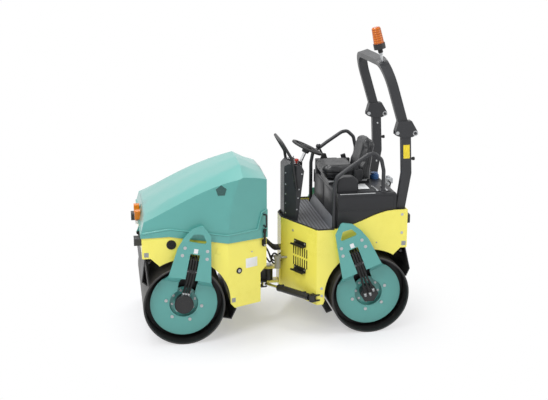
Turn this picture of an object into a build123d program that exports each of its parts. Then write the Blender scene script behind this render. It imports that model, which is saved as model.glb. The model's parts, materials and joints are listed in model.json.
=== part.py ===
"""Articulated tandem road roller with an open driver's platform, as named pieces in one frame.

+X is forward, towards the hood, +Y is the driver's left, +Z is up.
The origin is on the ground, midway between the drums, under the steering pivot.
"""
from build123d import *
import os
from math import atan2, cos, degrees, radians, sin

os.makedirs("parts", exist_ok=True)

# Main sizes in millimetres
wheelbase = 1868.0
drum_radius = 400.0
drum_width = 1380.0
drum_wall = 17.0
body_inset = 62.0
half_length = 1396.0
lamp_deep = 71.0
ear_reach = 86.0
wall = 12.0
turn_fit = 0.3
side_gap = 10.0
arch_gap = 62.0

front_axle = wheelbase / 2
rear_axle = -wheelbase / 2
arch_radius = drum_radius + arch_gap
drum_half = drum_width / 2
drum_chamfer = 6.0
body_half = drum_half - body_inset

# Drum webs, hubs and motors
web_inset = 210.0
web_y = drum_half - web_inset
web_thick = 16.0
hub_bore = 70.0
hub_radius = 120.0
hub_length = 70.0
motor_flange_radius = 130.0
motor_flange = 12.0
motor_radius = 82.0
motor_cap = 20.0
cap_lip = 12.0
motor_inset = 66.0

# Side forks, measured from the drum's axle: u towards the machine's end, v up along the fork
fork_plate = 16.0
fork_in = drum_half + side_gap
fork_out = fork_in + fork_plate
motor_out = fork_out - motor_inset
fork_dish = 118.0
fork_disc = 330.0
fork_chord = 205.0
fork_knee = 285.0
front_lean = 12.0
rear_lean = 21.0
cup_radius = 142.0
cup_wall = 10.0
cup_depth = 50.0
slot_half = 48.0
slot_wide = 88.0
slot_top = 545.0
spacer_wide = 80.0
spacer_high = 130.0

# Front body
front_x = half_length - lamp_deep
front_sill = 885.0
front_crease = 490.0
front_tail = 84.0
front_tail_half = 436.0
front_tail_low = 150.0
front_low = 319.0
deck_lap = 25.0
hood_gap = 6.0
hood_wall = 6.0
hood_half = body_half + hood_gap + hood_wall
hood_front = front_x + hood_gap + hood_wall
hood_rear = front_tail - hood_gap - hood_wall
hood_lip = 8.0
hinge_x = front_x + 27
hinge_z = 1070.0
hinge_pin = 8.0
hinge_y = 330.0
lug_half = 10.0
lug_gap = 1.0

# Rear body
rear_x = ear_reach - half_length
rear_sill = 868.0
rear_corner = -390.0
nose_x = -120.0
nose_half = 100.0
rear_low = 307.0
deck_z = 1045.0
rim_z = 1091.0
fender_z = 1262.0
slot_row_z = 800.0
slot_mid = 30.0
slot_count = 7
slot_pitch = 36.0
slot_width = 18.0
slot_high = 95.0
step_wide = 190.0
step_deep = 55.0
tooth = 12.0

# Driver's place
mat_thick = 25.0
mat_end = -545.0
tank_front = -600.0
tank_rear = -1195.0
tank_half = body_half - 18
tank_top = 1436.0
seat_half = 240.0
rail_tube = 38.0
rail_y = tank_half - 35
wheel_centre = (-411.0, 0.0, 1788.0)
wheel_tilt = 25.6
wheel_radius = 170.0
wheel_rim = 14.0
column_radius = 17.0
stub_radius = 12.0
hub_deep = 56.0
hub_wide = 52.0
hub_proud = 16.0

# Roll bar
post_y = tank_half - 61
post_wide = 60.0
post_deep = 95.0
hoop_lean = 17.0
hoop_rise = 682.0
hoop_round = 280.0
cheek = 12.0
cheek_gap = 1.0
fold_pin = 14.0
fold_x = rear_x - 60
fold_z = 2022.0
fold_head = 18.0
hoop_foot = (fold_x + 108, fold_z + 58)

# Steering joint and cylinder
king_pin = 28.0
king_eye = 55.0
ear_low = 360.0
ear_high = 540.0
ear_thick = 25.0
barrel_pin = (rear_corner + 40, body_half + 2)
rod_pin = (60.0, 120.0)
cylinder_z = 385.0
barrel_radius = 35.0
rod_radius = 18.0
eye_high = 40.0


def finish(part, name):
    """Label one piece and write it as a STEP file."""
    part.label = name
    export_step(part, f"parts/{name}.step")


def bar(points, bend, thick):
    """A round bar or hose along straight runs joined by bends."""
    with BuildPart() as run:
        with BuildLine() as route:
            FilletPolyline(*points, radius=bend)
        with BuildSketch(Plane(origin=route.line @ 0, z_dir=route.line % 0)):
            Circle(thick / 2)
        sweep()
    return run.part


def sheet(points, half_width):
    """A bent or cut sheet, drawn in side view and as wide as the machine needs it."""
    with BuildPart() as made:
        with BuildSketch(Plane.XZ):
            with BuildLine():
                Polyline(*points, close=True)
            make_face()
        extrude(amount=half_width, both=True)
    return made.part


# Drums: a rolled shell with two webs, each carried on a hub
def drum(axle):
    """One drum about its axle."""
    inner = drum_radius - drum_wall
    with BuildPart() as roll:
        with BuildSketch(Plane.YZ.offset(axle)):
            with Locations((0, drum_radius + inner + drum_wall / 2)):
                Rectangle(drum_width, drum_wall)
            for side in (-1, 1):
                with Locations((side * web_y, drum_radius + (inner + hub_bore) / 2)):
                    Rectangle(web_thick, inner - hub_bore)
                with Locations((side * web_y, drum_radius + (hub_radius + hub_bore) / 2)):
                    Rectangle(hub_length, hub_radius - hub_bore)
        revolve(axis=Axis((axle, 0, drum_radius), (0, 1, 0)))
        rims = roll.edges().filter_by(GeomType.CIRCLE).group_by(SortBy.RADIUS)[-1]
        chamfer(rims, length=drum_chamfer)
    return roll.part


finish(drum(front_axle), "front_drum")
finish(drum(rear_axle), "rear_drum")

# Side fork: plate outside the drum, dished in to a disc that carries the motor
disc_out = fork_out - fork_dish
cup_floor = disc_out - fork_plate - cup_depth
with BuildPart() as fork:
    with BuildSketch(Plane.YZ):
        with BuildLine():
            Polyline(
                (fork_out, 900),
                (fork_out, fork_knee),
                (disc_out, fork_chord),
                (disc_out, -fork_disc),
                (disc_out - fork_plate, -fork_disc),
                (disc_out - fork_plate, fork_chord + fork_plate / 2),
                (fork_in, fork_knee + fork_plate / 2),
                (fork_in, 900),
                close=True,
            )
        make_face()
    extrude(amount=fork_disc, both=True)
    with BuildSketch(Plane.XZ):
        Circle(fork_disc)
        with Locations((0, fork_chord + fork_disc)):
            Rectangle(2 * fork_disc, 2 * fork_disc, mode=Mode.SUBTRACT)
        with BuildLine():
            Polyline(
                (-255, fork_chord),
                (255, fork_chord),
                (213, fork_knee + 5),
                (178, 576),
                (138, 690),
                (78, 787),
                (-17, 842),
                (-117, 748),
                (-207, fork_knee + 5),
                close=True,
            )
        make_face()
        fillet(vertices().sort_by(Axis.Y)[-4:], radius=28)
    extrude(amount=-2 * body_half, mode=Mode.INTERSECT)
    with BuildSketch(Plane.XZ.offset(-cup_floor)):
        Circle(cup_radius + cup_wall)
    extrude(amount=-(disc_out - cup_floor))
    with BuildSketch(Plane.XZ.offset(-cup_floor - wall)):
        Circle(cup_radius)
    extrude(amount=-2 * cup_depth, mode=Mode.SUBTRACT)
    with BuildSketch(Plane.XZ.offset(-cup_floor)):
        Circle(motor_radius)
    extrude(amount=-wall, mode=Mode.SUBTRACT)
    with BuildSketch(Plane.XZ.offset(-cup_floor - wall)):
        with Locations((0, (slot_top + motor_radius) / 2)):
            Rectangle(2 * slot_half, slot_top - motor_radius)
        with Locations((0, (fork_knee + motor_radius) / 2)):
            Rectangle(2 * slot_wide, fork_knee - motor_radius)
        fillet(vertices().group_by(Axis.Y)[-2].sort_by(Axis.X)[::3], radius=24)
    extrude(amount=-2 * fork_dish, mode=Mode.SUBTRACT)
    with BuildSketch(Plane.XZ.offset(-body_half)):
        for side in (-1, 1):
            with Locations((side * (slot_half + spacer_wide / 2 + 10), slot_top - 10)):
                Rectangle(spacer_wide, spacer_high)
    extrude(amount=-(fork_in - body_half))
    with BuildSketch(Plane.XZ.offset(-fork_in)):
        with BuildLine():
            Polyline((-100, 662), (95, 662), (52, 742), (-38, 752), close=True)
        make_face()
        fillet(vertices(), radius=18)
    extrude(amount=-fork_plate, mode=Mode.SUBTRACT)

front_fork_left = fork.part.rotate(Axis.Y, -front_lean).moved(Location((front_axle, 0, drum_radius)))
rear_fork_left = fork.part.mirror(Plane.YZ).rotate(Axis.Y, rear_lean)
rear_fork_left = rear_fork_left.moved(Location((rear_axle, 0, drum_radius)))
finish(front_fork_left, "front_fork_left")
finish(front_fork_left.mirror(Plane.XZ), "front_fork_right")
finish(rear_fork_left, "rear_fork_left")
finish(rear_fork_left.mirror(Plane.XZ), "rear_fork_right")

# Drum motors: flange behind the fork's cup, stub in the drum's hub, body out through the disc
hub_in = web_y - hub_length / 2


def motor(axle, six_sided):
    """One left-hand drum motor, its outer cap round or six-sided."""
    with BuildPart() as made:
        with BuildSketch(Plane.XZ.offset(-hub_in)):
            Circle(hub_bore - turn_fit)
        extrude(amount=-(cup_floor - hub_in))
        with BuildSketch(Plane.XZ.offset(-cup_floor + motor_flange)):
            Circle(motor_flange_radius)
        extrude(amount=-motor_flange)
        with BuildSketch(Plane.XZ.offset(-cup_floor)):
            Circle(motor_radius)
        extrude(amount=-(motor_out - cup_floor - motor_cap))
        with BuildSketch(Plane.XZ.offset(-motor_out + motor_cap)):
            if six_sided:
                RegularPolygon(motor_radius + cap_lip, 6)
            else:
                Circle(motor_radius + cap_lip)
        extrude(amount=-motor_cap)
        chamfer(made.faces().sort_by(Axis.Y)[-1].edges(), length=motor_cap / 5)
    return made.part.moved(Location((axle, 0, drum_radius)))


for name, axle, six_sided in (("front_motors", front_axle, False), ("rear_motors", rear_axle, True)):
    with BuildPart() as pair:
        add(motor(axle, six_sided))
        mirror(about=Plane.XZ)
    finish(pair.part, name)

# Motor hoses: out of the body, down the fork's slot, in to the motor
hose = 24.0
hose_out = fork_out - 4
hose_in = motor_out - motor_cap - hose
with BuildPart() as hoses:
    for u in (-28, 0, 28):
        add(
            bar(
                [
                    (u, body_half, slot_top - 45),
                    (u, hose_out, slot_top - 45),
                    (u, hose_out, fork_knee + 20),
                    (u, hose_in, fork_chord - 55),
                    (u, hose_in, (motor_radius**2 - max(abs(u) - hose / 2, 0) ** 2) ** 0.5 + turn_fit),
                ],
                38,
                hose,
            )
        )

front_hoses_left = hoses.part.rotate(Axis.Y, -front_lean).moved(Location((front_axle, 0, drum_radius)))
rear_hoses_left = hoses.part.mirror(Plane.YZ).rotate(Axis.Y, rear_lean)
rear_hoses_left = rear_hoses_left.moved(Location((rear_axle, 0, drum_radius)))
for name, side_set in (("front_hoses", front_hoses_left), ("rear_hoses", rear_hoses_left)):
    with BuildPart() as pair:
        add(side_set)
        add(side_set.mirror(Plane.XZ))
    finish(pair.part, name)

# Front body: open-topped welded box over the front drum, tapered behind its crease
hood_line = [(hood_front, 1093.0), (front_axle + 126, 1100.0), (front_crease + 8, 1003.0), (hood_rear, 990.0)]


def front_side(lift):
    """Side view of the front body, with its top edge raised by lift."""
    arch_rear = front_axle - arch_radius
    return [
        (front_x, front_sill),
        (front_x, hood_line[0][1] + lift),
        (hood_line[1][0], hood_line[1][1] + lift),
        (hood_line[2][0], hood_line[2][1] + lift),
        (front_tail, hood_line[3][1] + lift),
        (front_tail, 690),
        (front_tail_low, 628),
        (front_tail_low, front_low),
        (arch_rear - 42, front_low),
        (arch_rear + 24, drum_radius + 5),
        (front_axle, drum_radius),
        (front_x - 156, front_sill - 73),
        (front_x - 80, front_sill),
    ]


def front_plan():
    """Plan of the front body."""
    return [
        (front_x, -body_half),
        (front_x, body_half),
        (front_crease, body_half),
        (front_tail, front_tail_half),
        (front_tail, -front_tail_half),
        (front_crease, -body_half),
    ]


def box_between(plan, side, inset, arch_axle, arch):
    """The block with this plan and this side view, both drawn in by inset, clear of one drum."""
    with BuildPart() as block:
        with BuildSketch(Plane.XY):
            with BuildLine():
                Polyline(*plan, close=True)
            make_face()
            if inset:
                offset(amount=-inset, kind=Kind.INTERSECTION, mode=Mode.REPLACE)
        extrude(amount=1800)
        with BuildSketch(Plane.XZ):
            with BuildLine():
                Polyline(*side, close=True)
            make_face()
            if inset:
                offset(amount=-inset, kind=Kind.INTERSECTION, mode=Mode.REPLACE)
        extrude(amount=2 * body_half, both=True, mode=Mode.INTERSECT)
        with BuildSketch(Plane.XZ):
            with Locations((arch_axle, drum_radius)):
                Circle(arch)
        extrude(amount=2 * body_half, both=True, mode=Mode.SUBTRACT)
    return block.part


engine_floor = drum_radius + arch_radius + wall
with BuildPart() as front_chassis:
    add(box_between(front_plan(), front_side(deck_lap), 0, front_axle, arch_radius))
    add(
        box_between(front_plan(), front_side(deck_lap + 300), wall, front_axle, arch_radius + wall),
        mode=Mode.SUBTRACT,
    )
    for rail_x in (front_crease + 40, front_axle - 60):
        with Locations((rail_x, 0, engine_floor - wall)):
            Box(60, 2 * body_half - wall, 2 * wall)
finish(front_chassis.part, "front_chassis")

with BuildPart() as engine:
    with Locations((front_crease + 120, 0, engine_floor + 240)):
        Box(640, 560, 480)
finish(engine.part, "engine")

# Hood: moulded shell over the engine, hinged at its front edge
hood_long = hood_front - hood_rear
hood_stations = [
    (hood_front, hood_half - 28, 1237.0, hood_half - 240, 1250.0),
    (hood_rear + 0.779 * hood_long, hood_half - 36, 1362.0, hood_half - 210, 1410.0),
    (hood_rear + 0.558 * hood_long, hood_half - 42, 1496.0, hood_half - 237, 1550.0),
    (hood_rear + 0.376 * hood_long, hood_half - 48, 1582.0, hood_half - 270, 1644.0),
    (hood_rear + 0.204 * hood_long, hood_half - 54, 1633.0, hood_half - 333, 1720.0),
    (hood_rear, hood_half - 80, 1580.0, hood_half - 401, 1600.0),
]
hood_crown = 14.0
hood_low = 960.0
skirt_top = 1135.0
front_rake = 15.0
lip_line = [
    (hood_front, 1140.0),
    (front_axle + 126, 1178.0),
    (front_crease + 8, 1089.0),
    (hood_rear + 110, 1092.0),
    (hood_rear + 62, 1262.0),
    (hood_rear, 1280.0),
]
tail_run = Vector(front_tail - front_crease, front_tail_half - body_half, 0).normalized()
tail_out = Vector(tail_run.Y, -tail_run.X, 0)
taper_at = Vector(front_crease, body_half, 0) + tail_out * (hood_gap + hood_wall + 2)


def hood_block(inset):
    """The hood as a filled block, every face drawn in by inset."""
    with BuildPart() as block:
        for group in (hood_stations[:5], hood_stations[4:]):
            for station in group:
                x, side_y, side_z, top_y, top_z = station
                if x == hood_front:
                    x = x - inset
                if x == hood_rear:
                    x = x + inset
                with BuildSketch(Plane.YZ.offset(x)):
                    with BuildLine():
                        Polyline(
                            (hood_half - inset, hood_low),
                            (hood_half - inset, skirt_top),
                            (side_y - inset, side_z - inset / 2),
                            (top_y - inset / 2, top_z - inset),
                            (0, top_z + hood_crown - inset),
                            (inset / 2 - top_y, top_z - inset),
                            (inset - side_y, side_z - inset / 2),
                            (inset - hood_half, skirt_top),
                            (inset - hood_half, hood_low),
                            close=True,
                        )
                    make_face()
            loft(ruled=len(group) == 2)
        for side in (1, -1):
            edge = taper_at - tail_out * inset
            cut = Plane(origin=(edge.X, side * edge.Y, 0), z_dir=(tail_out.X, side * tail_out.Y, 0))
            split(bisect_by=cut, keep=Keep.BOTTOM)
        rake_out = Vector(cos(radians(front_rake)), 0, sin(radians(front_rake)))
        rake_at = Vector(hood_front, 0, lip_line[0][1]) - rake_out * inset
        split(bisect_by=Plane(origin=rake_at, z_dir=rake_out), keep=Keep.BOTTOM)
    return block.part


def hood_shell(inset):
    """The hood's outside drawn in by inset: upper panels set in from the lip along its lower edge."""
    with BuildPart() as shell:
        add(hood_block(inset))
        reach = hood_half + 100
        low = [(hood_rear - 50, 0), (hood_front + 50, 0)]
        line = [(hood_front + 50, lip_line[0][1]), *lip_line[1:-1], (hood_rear - 50, lip_line[-1][1])]
        line = [(x, z - inset) for x, z in line]
        add(sheet([*line, *low], reach), mode=Mode.INTERSECT)
        add(hood_block(inset + hood_lip))
    return shell.part


with BuildPart() as hood:
    add(hood_shell(0))
    add(hood_shell(hood_wall), mode=Mode.SUBTRACT)
    add(
        sheet([(hood_front + 50, hood_line[0][1]), *hood_line[1:3], (hood_rear - 50, hood_line[3][1]),
               (hood_rear - 50, 0), (hood_front + 50, 0)], hood_half + 100),
        mode=Mode.SUBTRACT,
    )
    for side in (-1, 1):
        with BuildSketch(Plane.XZ.offset(side * hinge_y)):
            with Locations((hinge_x, hinge_z)):
                Circle(hinge_pin + 6)
            with BuildLine():
                Polyline(
                    (hood_front - 1, hood_line[0][1] + 4),
                    (hood_front - 1, hood_line[0][1] + 50),
                    (hinge_x + hinge_pin + 4, hinge_z + 8),
                    (hinge_x - hinge_pin, hinge_z - 6),
                    close=True,
                )
            make_face()
            with Locations((hinge_x, hinge_z)):
                Circle(hinge_pin + turn_fit, mode=Mode.SUBTRACT)
        extrude(amount=lug_half, both=True)
finish(hood.part, "hood")

# Hood hinges: two ears and a pin each, on the front body's face
with BuildPart() as hood_hinges:
    for side in (-1, 1):
        with BuildSketch(Plane.XZ.offset(side * hinge_y)):
            with Locations((hinge_x, hinge_z)):
                Circle(hinge_pin + 6)
            with BuildLine():
                Polyline(
                    (front_x, hinge_z - 40),
                    (front_x, hinge_z + 14),
                    (hinge_x, hinge_z + 14),
                    (hinge_x + 12, hinge_z - 8),
                    close=True,
                )
            make_face()
        extrude(amount=lug_half + lug_gap + 10, both=True)
        with Locations((hinge_x + 4, -side * hinge_y, hinge_z)):
            Box(2 * (hinge_x - front_x) - 12, 2 * (lug_half + lug_gap), 200, mode=Mode.SUBTRACT)
        with BuildSketch(Plane.XZ.offset(side * hinge_y)):
            with Locations((hinge_x, hinge_z)):
                Circle(hinge_pin)
        extrude(amount=lug_half + lug_gap + 12, both=True)
finish(hood_hinges.part, "hood_hinges")

# Hood handles: bent bars on the tapered panels; latches: rubber pulls on the body below
tail_length = ((front_crease - front_tail) ** 2 + (body_half - front_tail_half) ** 2) ** 0.5
panel_plane = Plane(origin=taper_at + tail_run * (tail_length - 40), x_dir=tail_run, z_dir=tail_out)
with BuildPart() as hood_handles:
    grip = [(0, 1225, -18), (0, 1240, 46), (0, 1105, 46), (0, 1120, -6)]
    add(bar([panel_plane.from_local_coords(point) for point in grip], 14, 18))
    mirror(about=Plane.XZ)
    add(hood_block(0), mode=Mode.SUBTRACT)
finish(hood_handles.part, "hood_handles")

latch_at = Vector(front_tail, front_tail_half, 0) - tail_run * 40
tail_plane = Plane(origin=latch_at, x_dir=tail_run, z_dir=tail_out)
with BuildPart() as latches:
    with BuildSketch(tail_plane):
        with Locations((0, 938)):
            RectangleRounded(34, 70, 12)
    extrude(amount=26)
    mirror(about=Plane.XZ)
finish(latches.part, "latches")

# Front lamps: work lamps on the body's face, flashers on the hood's
with BuildPart() as front_lamps:
    for side in (-1, 1):
        with Locations(((front_x + half_length) / 2, side * 450, 1020)):
            Box(lamp_deep, 110, 80)
    fillet(front_lamps.edges().filter_by(Axis.X), radius=16)
finish(front_lamps.part, "front_lamps")

with BuildPart() as flashers:
    for side in (-1, 1):
        with Locations((hood_front + 6, side * 120, 1190)):
            Box(56, 80, 90)
    fillet(flashers.edges().filter_by(Axis.X), radius=12)
    add(hood_shell(0), mode=Mode.SUBTRACT)
finish(flashers.part, "flashers")

# Rear body: closed welded box with a wedge nose, side plates swept up beside the tank
def rear_side():
    """Side view of the rear body, its upper edge a wave from the platform's rim to the fender."""
    arch_front = rear_axle + arch_radius
    wave_start = mat_end - 20
    wave_long = wave_start - rear_x - 130
    wave = []
    for step in range(9):
        share = step / 8
        rise = share * share * (3 - 2 * share)
        wave.append((wave_start - share * wave_long, rim_z + rise * (fender_z - rim_z)))
    return [
        (nose_x, rear_low),
        (nose_x, rim_z),
        *wave,
        (rear_x, fender_z),
        (rear_x, rear_sill),
        (rear_x + 65, rear_sill),
        (rear_x + 130, rear_sill - 63),
        (rear_axle, drum_radius),
        (arch_front - 25, drum_radius + 5),
        (arch_front + 12, rear_low),
    ]


def rear_plan():
    """Plan of the rear body."""
    return [
        (rear_x, -body_half),
        (rear_x, body_half),
        (rear_corner, body_half),
        (nose_x, nose_half),
        (nose_x, -nose_half),
        (rear_corner, -body_half),
    ]


nose_run = Vector(rear_corner - nose_x, body_half - nose_half, 0).normalized()
nose_out = Vector(nose_run.Y, -nose_run.X, 0)
nose_mid = Vector((nose_x + rear_corner) / 2, (nose_half + body_half) / 2, 0)
nose_plane = Plane(origin=nose_mid, x_dir=nose_run, z_dir=nose_out)
with BuildPart() as rear_chassis:
    add(box_between(rear_plan(), rear_side(), 0, rear_axle, arch_radius))
    with BuildPart(mode=Mode.PRIVATE) as rear_bay:
        add(box_between(rear_plan(), rear_side(), wall, rear_axle, arch_radius + wall))
        with Locations((0, 0, deck_z - wall)):
            Box(3 * half_length, 3 * body_half, deck_z, align=(Align.CENTER, Align.CENTER, Align.MIN),
                mode=Mode.SUBTRACT)
    add(rear_bay.part, mode=Mode.SUBTRACT)
    with BuildSketch(Plane.XY.offset(deck_z)):
        with BuildLine():
            Polyline(*rear_plan(), close=True)
        make_face()
        offset(amount=-wall, kind=Kind.INTERSECTION, mode=Mode.REPLACE)
    extrude(amount=deck_z, mode=Mode.SUBTRACT)
    for side in (-1, 1):
        panel = Plane(
            origin=(nose_mid.X, side * nose_mid.Y, 0),
            x_dir=(nose_run.X, side * nose_run.Y, 0),
            z_dir=(nose_out.X, side * nose_out.Y, 0),
        )
        with BuildSketch(panel):
            for row_z in (slot_row_z, slot_row_z - slot_high - 20):
                with Locations((slot_mid, row_z)):
                    with GridLocations(slot_pitch, 0, slot_count, 1):
                        SlotOverall(slot_high, slot_width, rotation=90)
        extrude(amount=2 * wall, both=True, mode=Mode.SUBTRACT)
finish(rear_chassis.part, "rear_chassis")

with BuildPart() as floor_mat:
    with BuildSketch(Plane.XY.offset(deck_z)):
        with BuildLine():
            Polyline(*rear_plan(), close=True)
        make_face()
        offset(amount=-wall - 2, kind=Kind.INTERSECTION, mode=Mode.REPLACE)
        with Locations((mat_end - half_length, 0)):
            Rectangle(2 * half_length, 2 * body_half, mode=Mode.SUBTRACT)
    extrude(amount=mat_thick)
finish(floor_mat.part, "floor_mat")

# Boarding steps: folded plates with toothed treads above and below the grille
tread_z = slot_row_z + slot_high / 2 + 25
step_gap = tread_z - slot_row_z + 1.5 * slot_high + 60
with BuildPart() as steps:
    for z in (tread_z, tread_z - step_gap):
        with BuildSketch(nose_plane):
            with Locations((slot_mid, z + 20)):
                Rectangle(step_wide, 48)
        extrude(amount=6)
        with BuildSketch(nose_plane):
            with Locations((slot_mid, z)):
                Rectangle(step_wide, 8)
        extrude(amount=step_deep)
        with BuildSketch(nose_plane.offset(step_deep - 6)):
            with Locations((slot_mid, z + 4)):
                with GridLocations(step_wide / 8, 0, 8, 1):
                    Trapezoid(2 * tooth, tooth, 60, align=(Align.CENTER, Align.MIN))
        extrude(amount=6)
    mirror(about=Plane.XZ)
finish(steps.part, "steps")

# Tank and seat plinth behind the floor
with BuildPart() as tank:
    with BuildSketch(Plane.XY.offset(deck_z)):
        with Locations(((tank_front + tank_rear) / 2, 0)):
            Rectangle(tank_front - tank_rear, 2 * tank_half)
        with Locations((tank_front - 80, -tank_half + 45)):
            Rectangle(160, 90, mode=Mode.SUBTRACT)
    extrude(amount=tank_top - deck_z)
    fillet(tank.faces().sort_by(Axis.Z)[-1].edges(), radius=18)
finish(tank.part, "tank")

with BuildPart() as tank_cap:
    with Locations((tank_rear + 65, 0, tank_top)):
        Cylinder(46, 40, align=(Align.CENTER, Align.CENTER, Align.MIN))
        Cylinder(38, 62, align=(Align.CENTER, Align.CENTER, Align.MIN))
finish(tank_cap.part, "tank_cap")

# Fuel filter: bracket on the tank's rear face, cast head and hanging bowl
filter_x = tank_rear - 48
filter_y = 110.0
with BuildPart() as fuel_filter:
    with Locations((tank_rear - 4, filter_y, tank_top - 60)):
        Box(8, 90, 110)
    with Locations((filter_x, filter_y, tank_top)):
        Box(90, 80, 50)
    with Locations((filter_x, filter_y, tank_top - 25)):
        Cylinder(36, 95, align=(Align.CENTER, Align.CENTER, Align.MAX))
    with Locations((filter_x, filter_y, tank_top + 25)):
        Cylinder(20, 22, align=(Align.CENTER, Align.CENTER, Align.MIN))
finish(fuel_filter.part, "fuel_filter")

# Seat: a low suspension base, a cushion rounded in plan, a back narrowing to its top
seat_base_high = 42.0
seat_front = tank_front + 80
seat_hip = seat_front - 387
seat_high = 150.0
seat_z = tank_top + seat_base_high
with BuildPart() as seat_base:
    with Locations((seat_hip + 92, 0, tank_top)):
        Box(430, 360, seat_base_high, align=(Align.CENTER, Align.CENTER, Align.MIN))
finish(seat_base.part, "seat_base")

with BuildPart() as seat_cushion:
    with Locations(((seat_front + seat_hip) / 2, 0, seat_z)):
        seat_long = seat_front - seat_hip - 2
        Box(seat_long, 2 * seat_half, seat_high, align=(Align.CENTER, Align.CENTER, Align.MIN))
    fillet(seat_cushion.edges().filter_by(Axis.Z).sort_by(Axis.X)[-2:], radius=110)
    fillet(seat_cushion.faces().sort_by(Axis.Z)[-1].edges(), radius=45)
    fillet(seat_cushion.faces().sort_by(Axis.Z)[0].edges(), radius=20)
finish(seat_cushion.part, "seat_cushion")

back_high = 428.0
with BuildPart() as seat_back:
    add(
        sheet(
            [
                (seat_hip, seat_z),
                (seat_hip, seat_z + 122),
                (seat_hip - 73, seat_z + back_high - 16),
                (seat_hip - 103, seat_z + back_high),
                (seat_hip - 163, seat_z + back_high - 20),
                (seat_hip - 178, seat_z + back_high - 80),
                (seat_hip - 113, seat_z),
            ],
            seat_half,
        )
    )
    with BuildSketch(Plane.YZ.offset(seat_hip - 200)):
        with Locations((0, seat_z)):
            Trapezoid(2 * seat_half - 10, back_high, 80, align=(Align.CENTER, Align.MIN))
        fillet(vertices().group_by(Axis.Y)[-1], radius=110)
    extrude(amount=400, mode=Mode.INTERSECT)
    fillet(seat_back.faces().sort_by(Axis.X)[-1].edges().filter_by(Axis.Y), radius=10)
finish(seat_back.part, "seat_back")

# Travel lever: console beside the seat with a cranked stick and knob
lever_y = 280.0 - tank_half
lever_x = tank_front - 60
lever_high = 150.0
with BuildPart() as lever_box:
    with Locations((lever_x - 30, lever_y, tank_top)):
        Box(240, 90, lever_high, align=(Align.CENTER, Align.CENTER, Align.MIN))
    fillet(lever_box.edges().filter_by(Axis.Z), radius=20)
    with Locations((lever_x, lever_y, tank_top + lever_high)):
        Cone(36, 18, 60, align=(Align.CENTER, Align.CENTER, Align.MIN))
    stick = [(0, 0), (20, 60), (55, 130)]
    add(bar([(lever_x + x, lever_y, tank_top + lever_high + z) for x, z in stick], 20, 22))
    with Locations((lever_x + 60, lever_y, tank_top + lever_high + 140)):
        Sphere(28)
finish(lever_box.part, "lever_box")

with BuildPart() as side_guard:
    with Locations((tank_front - 112, tank_half - 110, tank_top)):
        Box(216, 100, 160, align=(Align.CENTER, Align.CENTER, Align.MIN))
    fillet(side_guard.edges().filter_by(Axis.Y).sort_by(Axis.Z)[-2:], radius=70)
    fillet(side_guard.faces().sort_by(Axis.Y)[-1].edges().sort_by(Axis.Z)[1:], radius=14)
finish(side_guard.part, "side_guard")

# Handrails beside the seat: one bent tube each, on a foot plate at the floor
rail_line = [(29, deck_z - tank_top), (29, 59), (8, 169), (-148, 282), (-307, 386), (-368, 399), (-440, 331),
             (-465, 219), (-465, 0)]
with BuildPart() as handrail:
    add(bar([(tank_front + x, rail_y, tank_top + z) for x, z in rail_line], 55, rail_tube))
finish(handrail.part, "handrail_left")
finish(handrail.part.mirror(Plane.XZ), "handrail_right")

# Steering console
mat_z = deck_z + mat_thick
console_front = nose_x - 32
console_high = 585.0
console_half = 200.0
with BuildPart() as console:
    with BuildSketch(Plane.XY.offset(mat_z)):
        with BuildLine():
            Polyline(
                (console_front, -110),
                (console_front, 110),
                (console_front - 110, console_half),
                (console_front - 260, console_half),
                (console_front - 260, -console_half),
                (console_front - 110, -console_half),
                close=True,
            )
        make_face()
    extrude(amount=console_high + 100)
    with BuildSketch(Plane.XZ):
        with BuildLine():
            Polyline(
                (console_front, mat_z),
                (console_front, mat_z + console_high - 30),
                (console_front - 40, mat_z + console_high),
                (console_front - 165, mat_z + console_high - 15),
                (console_front - 190, mat_z + console_high - 65),
                (console_front - 125, mat_z),
                close=True,
            )
        make_face()
    extrude(amount=2 * console_half, both=True, mode=Mode.INTERSECT)
    fillet(console.edges().filter_by(Axis.Y).sort_by(Axis.Z)[-3:], radius=14)
finish(console.part, "console")

# Grab handle: one bent tube up both sides of the console, on two bosses a side
handle_y = console_half + 16
handle_top = mat_z + console_high + 245
with BuildPart() as console_handle:
    leg = [
        (console_front - 112, mat_z + 330),
        (console_front - 60, mat_z + console_high + 65),
        (console_front + 45, handle_top),
    ]
    loop = [(x, handle_y, z) for x, z in leg] + [(x, -handle_y, z) for x, z in leg[::-1]]
    add(bar(loop, 60, 30))
    for side in (-1, 1):
        for share in (0.15, 0.6):
            at_x = leg[0][0] + share * (leg[1][0] - leg[0][0])
            at_z = leg[0][1] + share * (leg[1][1] - leg[0][1])
            with Locations((at_x, side * (console_half + handle_y) / 2, at_z)):
                Box(26, handle_y - console_half, 26)
    add(console.part, mode=Mode.SUBTRACT)
finish(console_handle.part, "console_handle")

wheel_axis = Vector(-sin(radians(wheel_tilt)), 0, cos(radians(wheel_tilt)))
wheel_plane = Plane(origin=wheel_centre, x_dir=(0, 1, 0), z_dir=wheel_axis)
with BuildPart() as steering_column:
    with BuildSketch(wheel_plane.offset(-hub_deep - 240)):
        Circle(column_radius)
    extrude(amount=240)
    with BuildSketch(wheel_plane.offset(-hub_deep)):
        Circle(stub_radius)
    extrude(amount=hub_deep + 8)
    add(console.part, mode=Mode.SUBTRACT)
finish(steering_column.part.solids().sort_by(Axis.Z)[-1], "steering_column")

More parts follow.
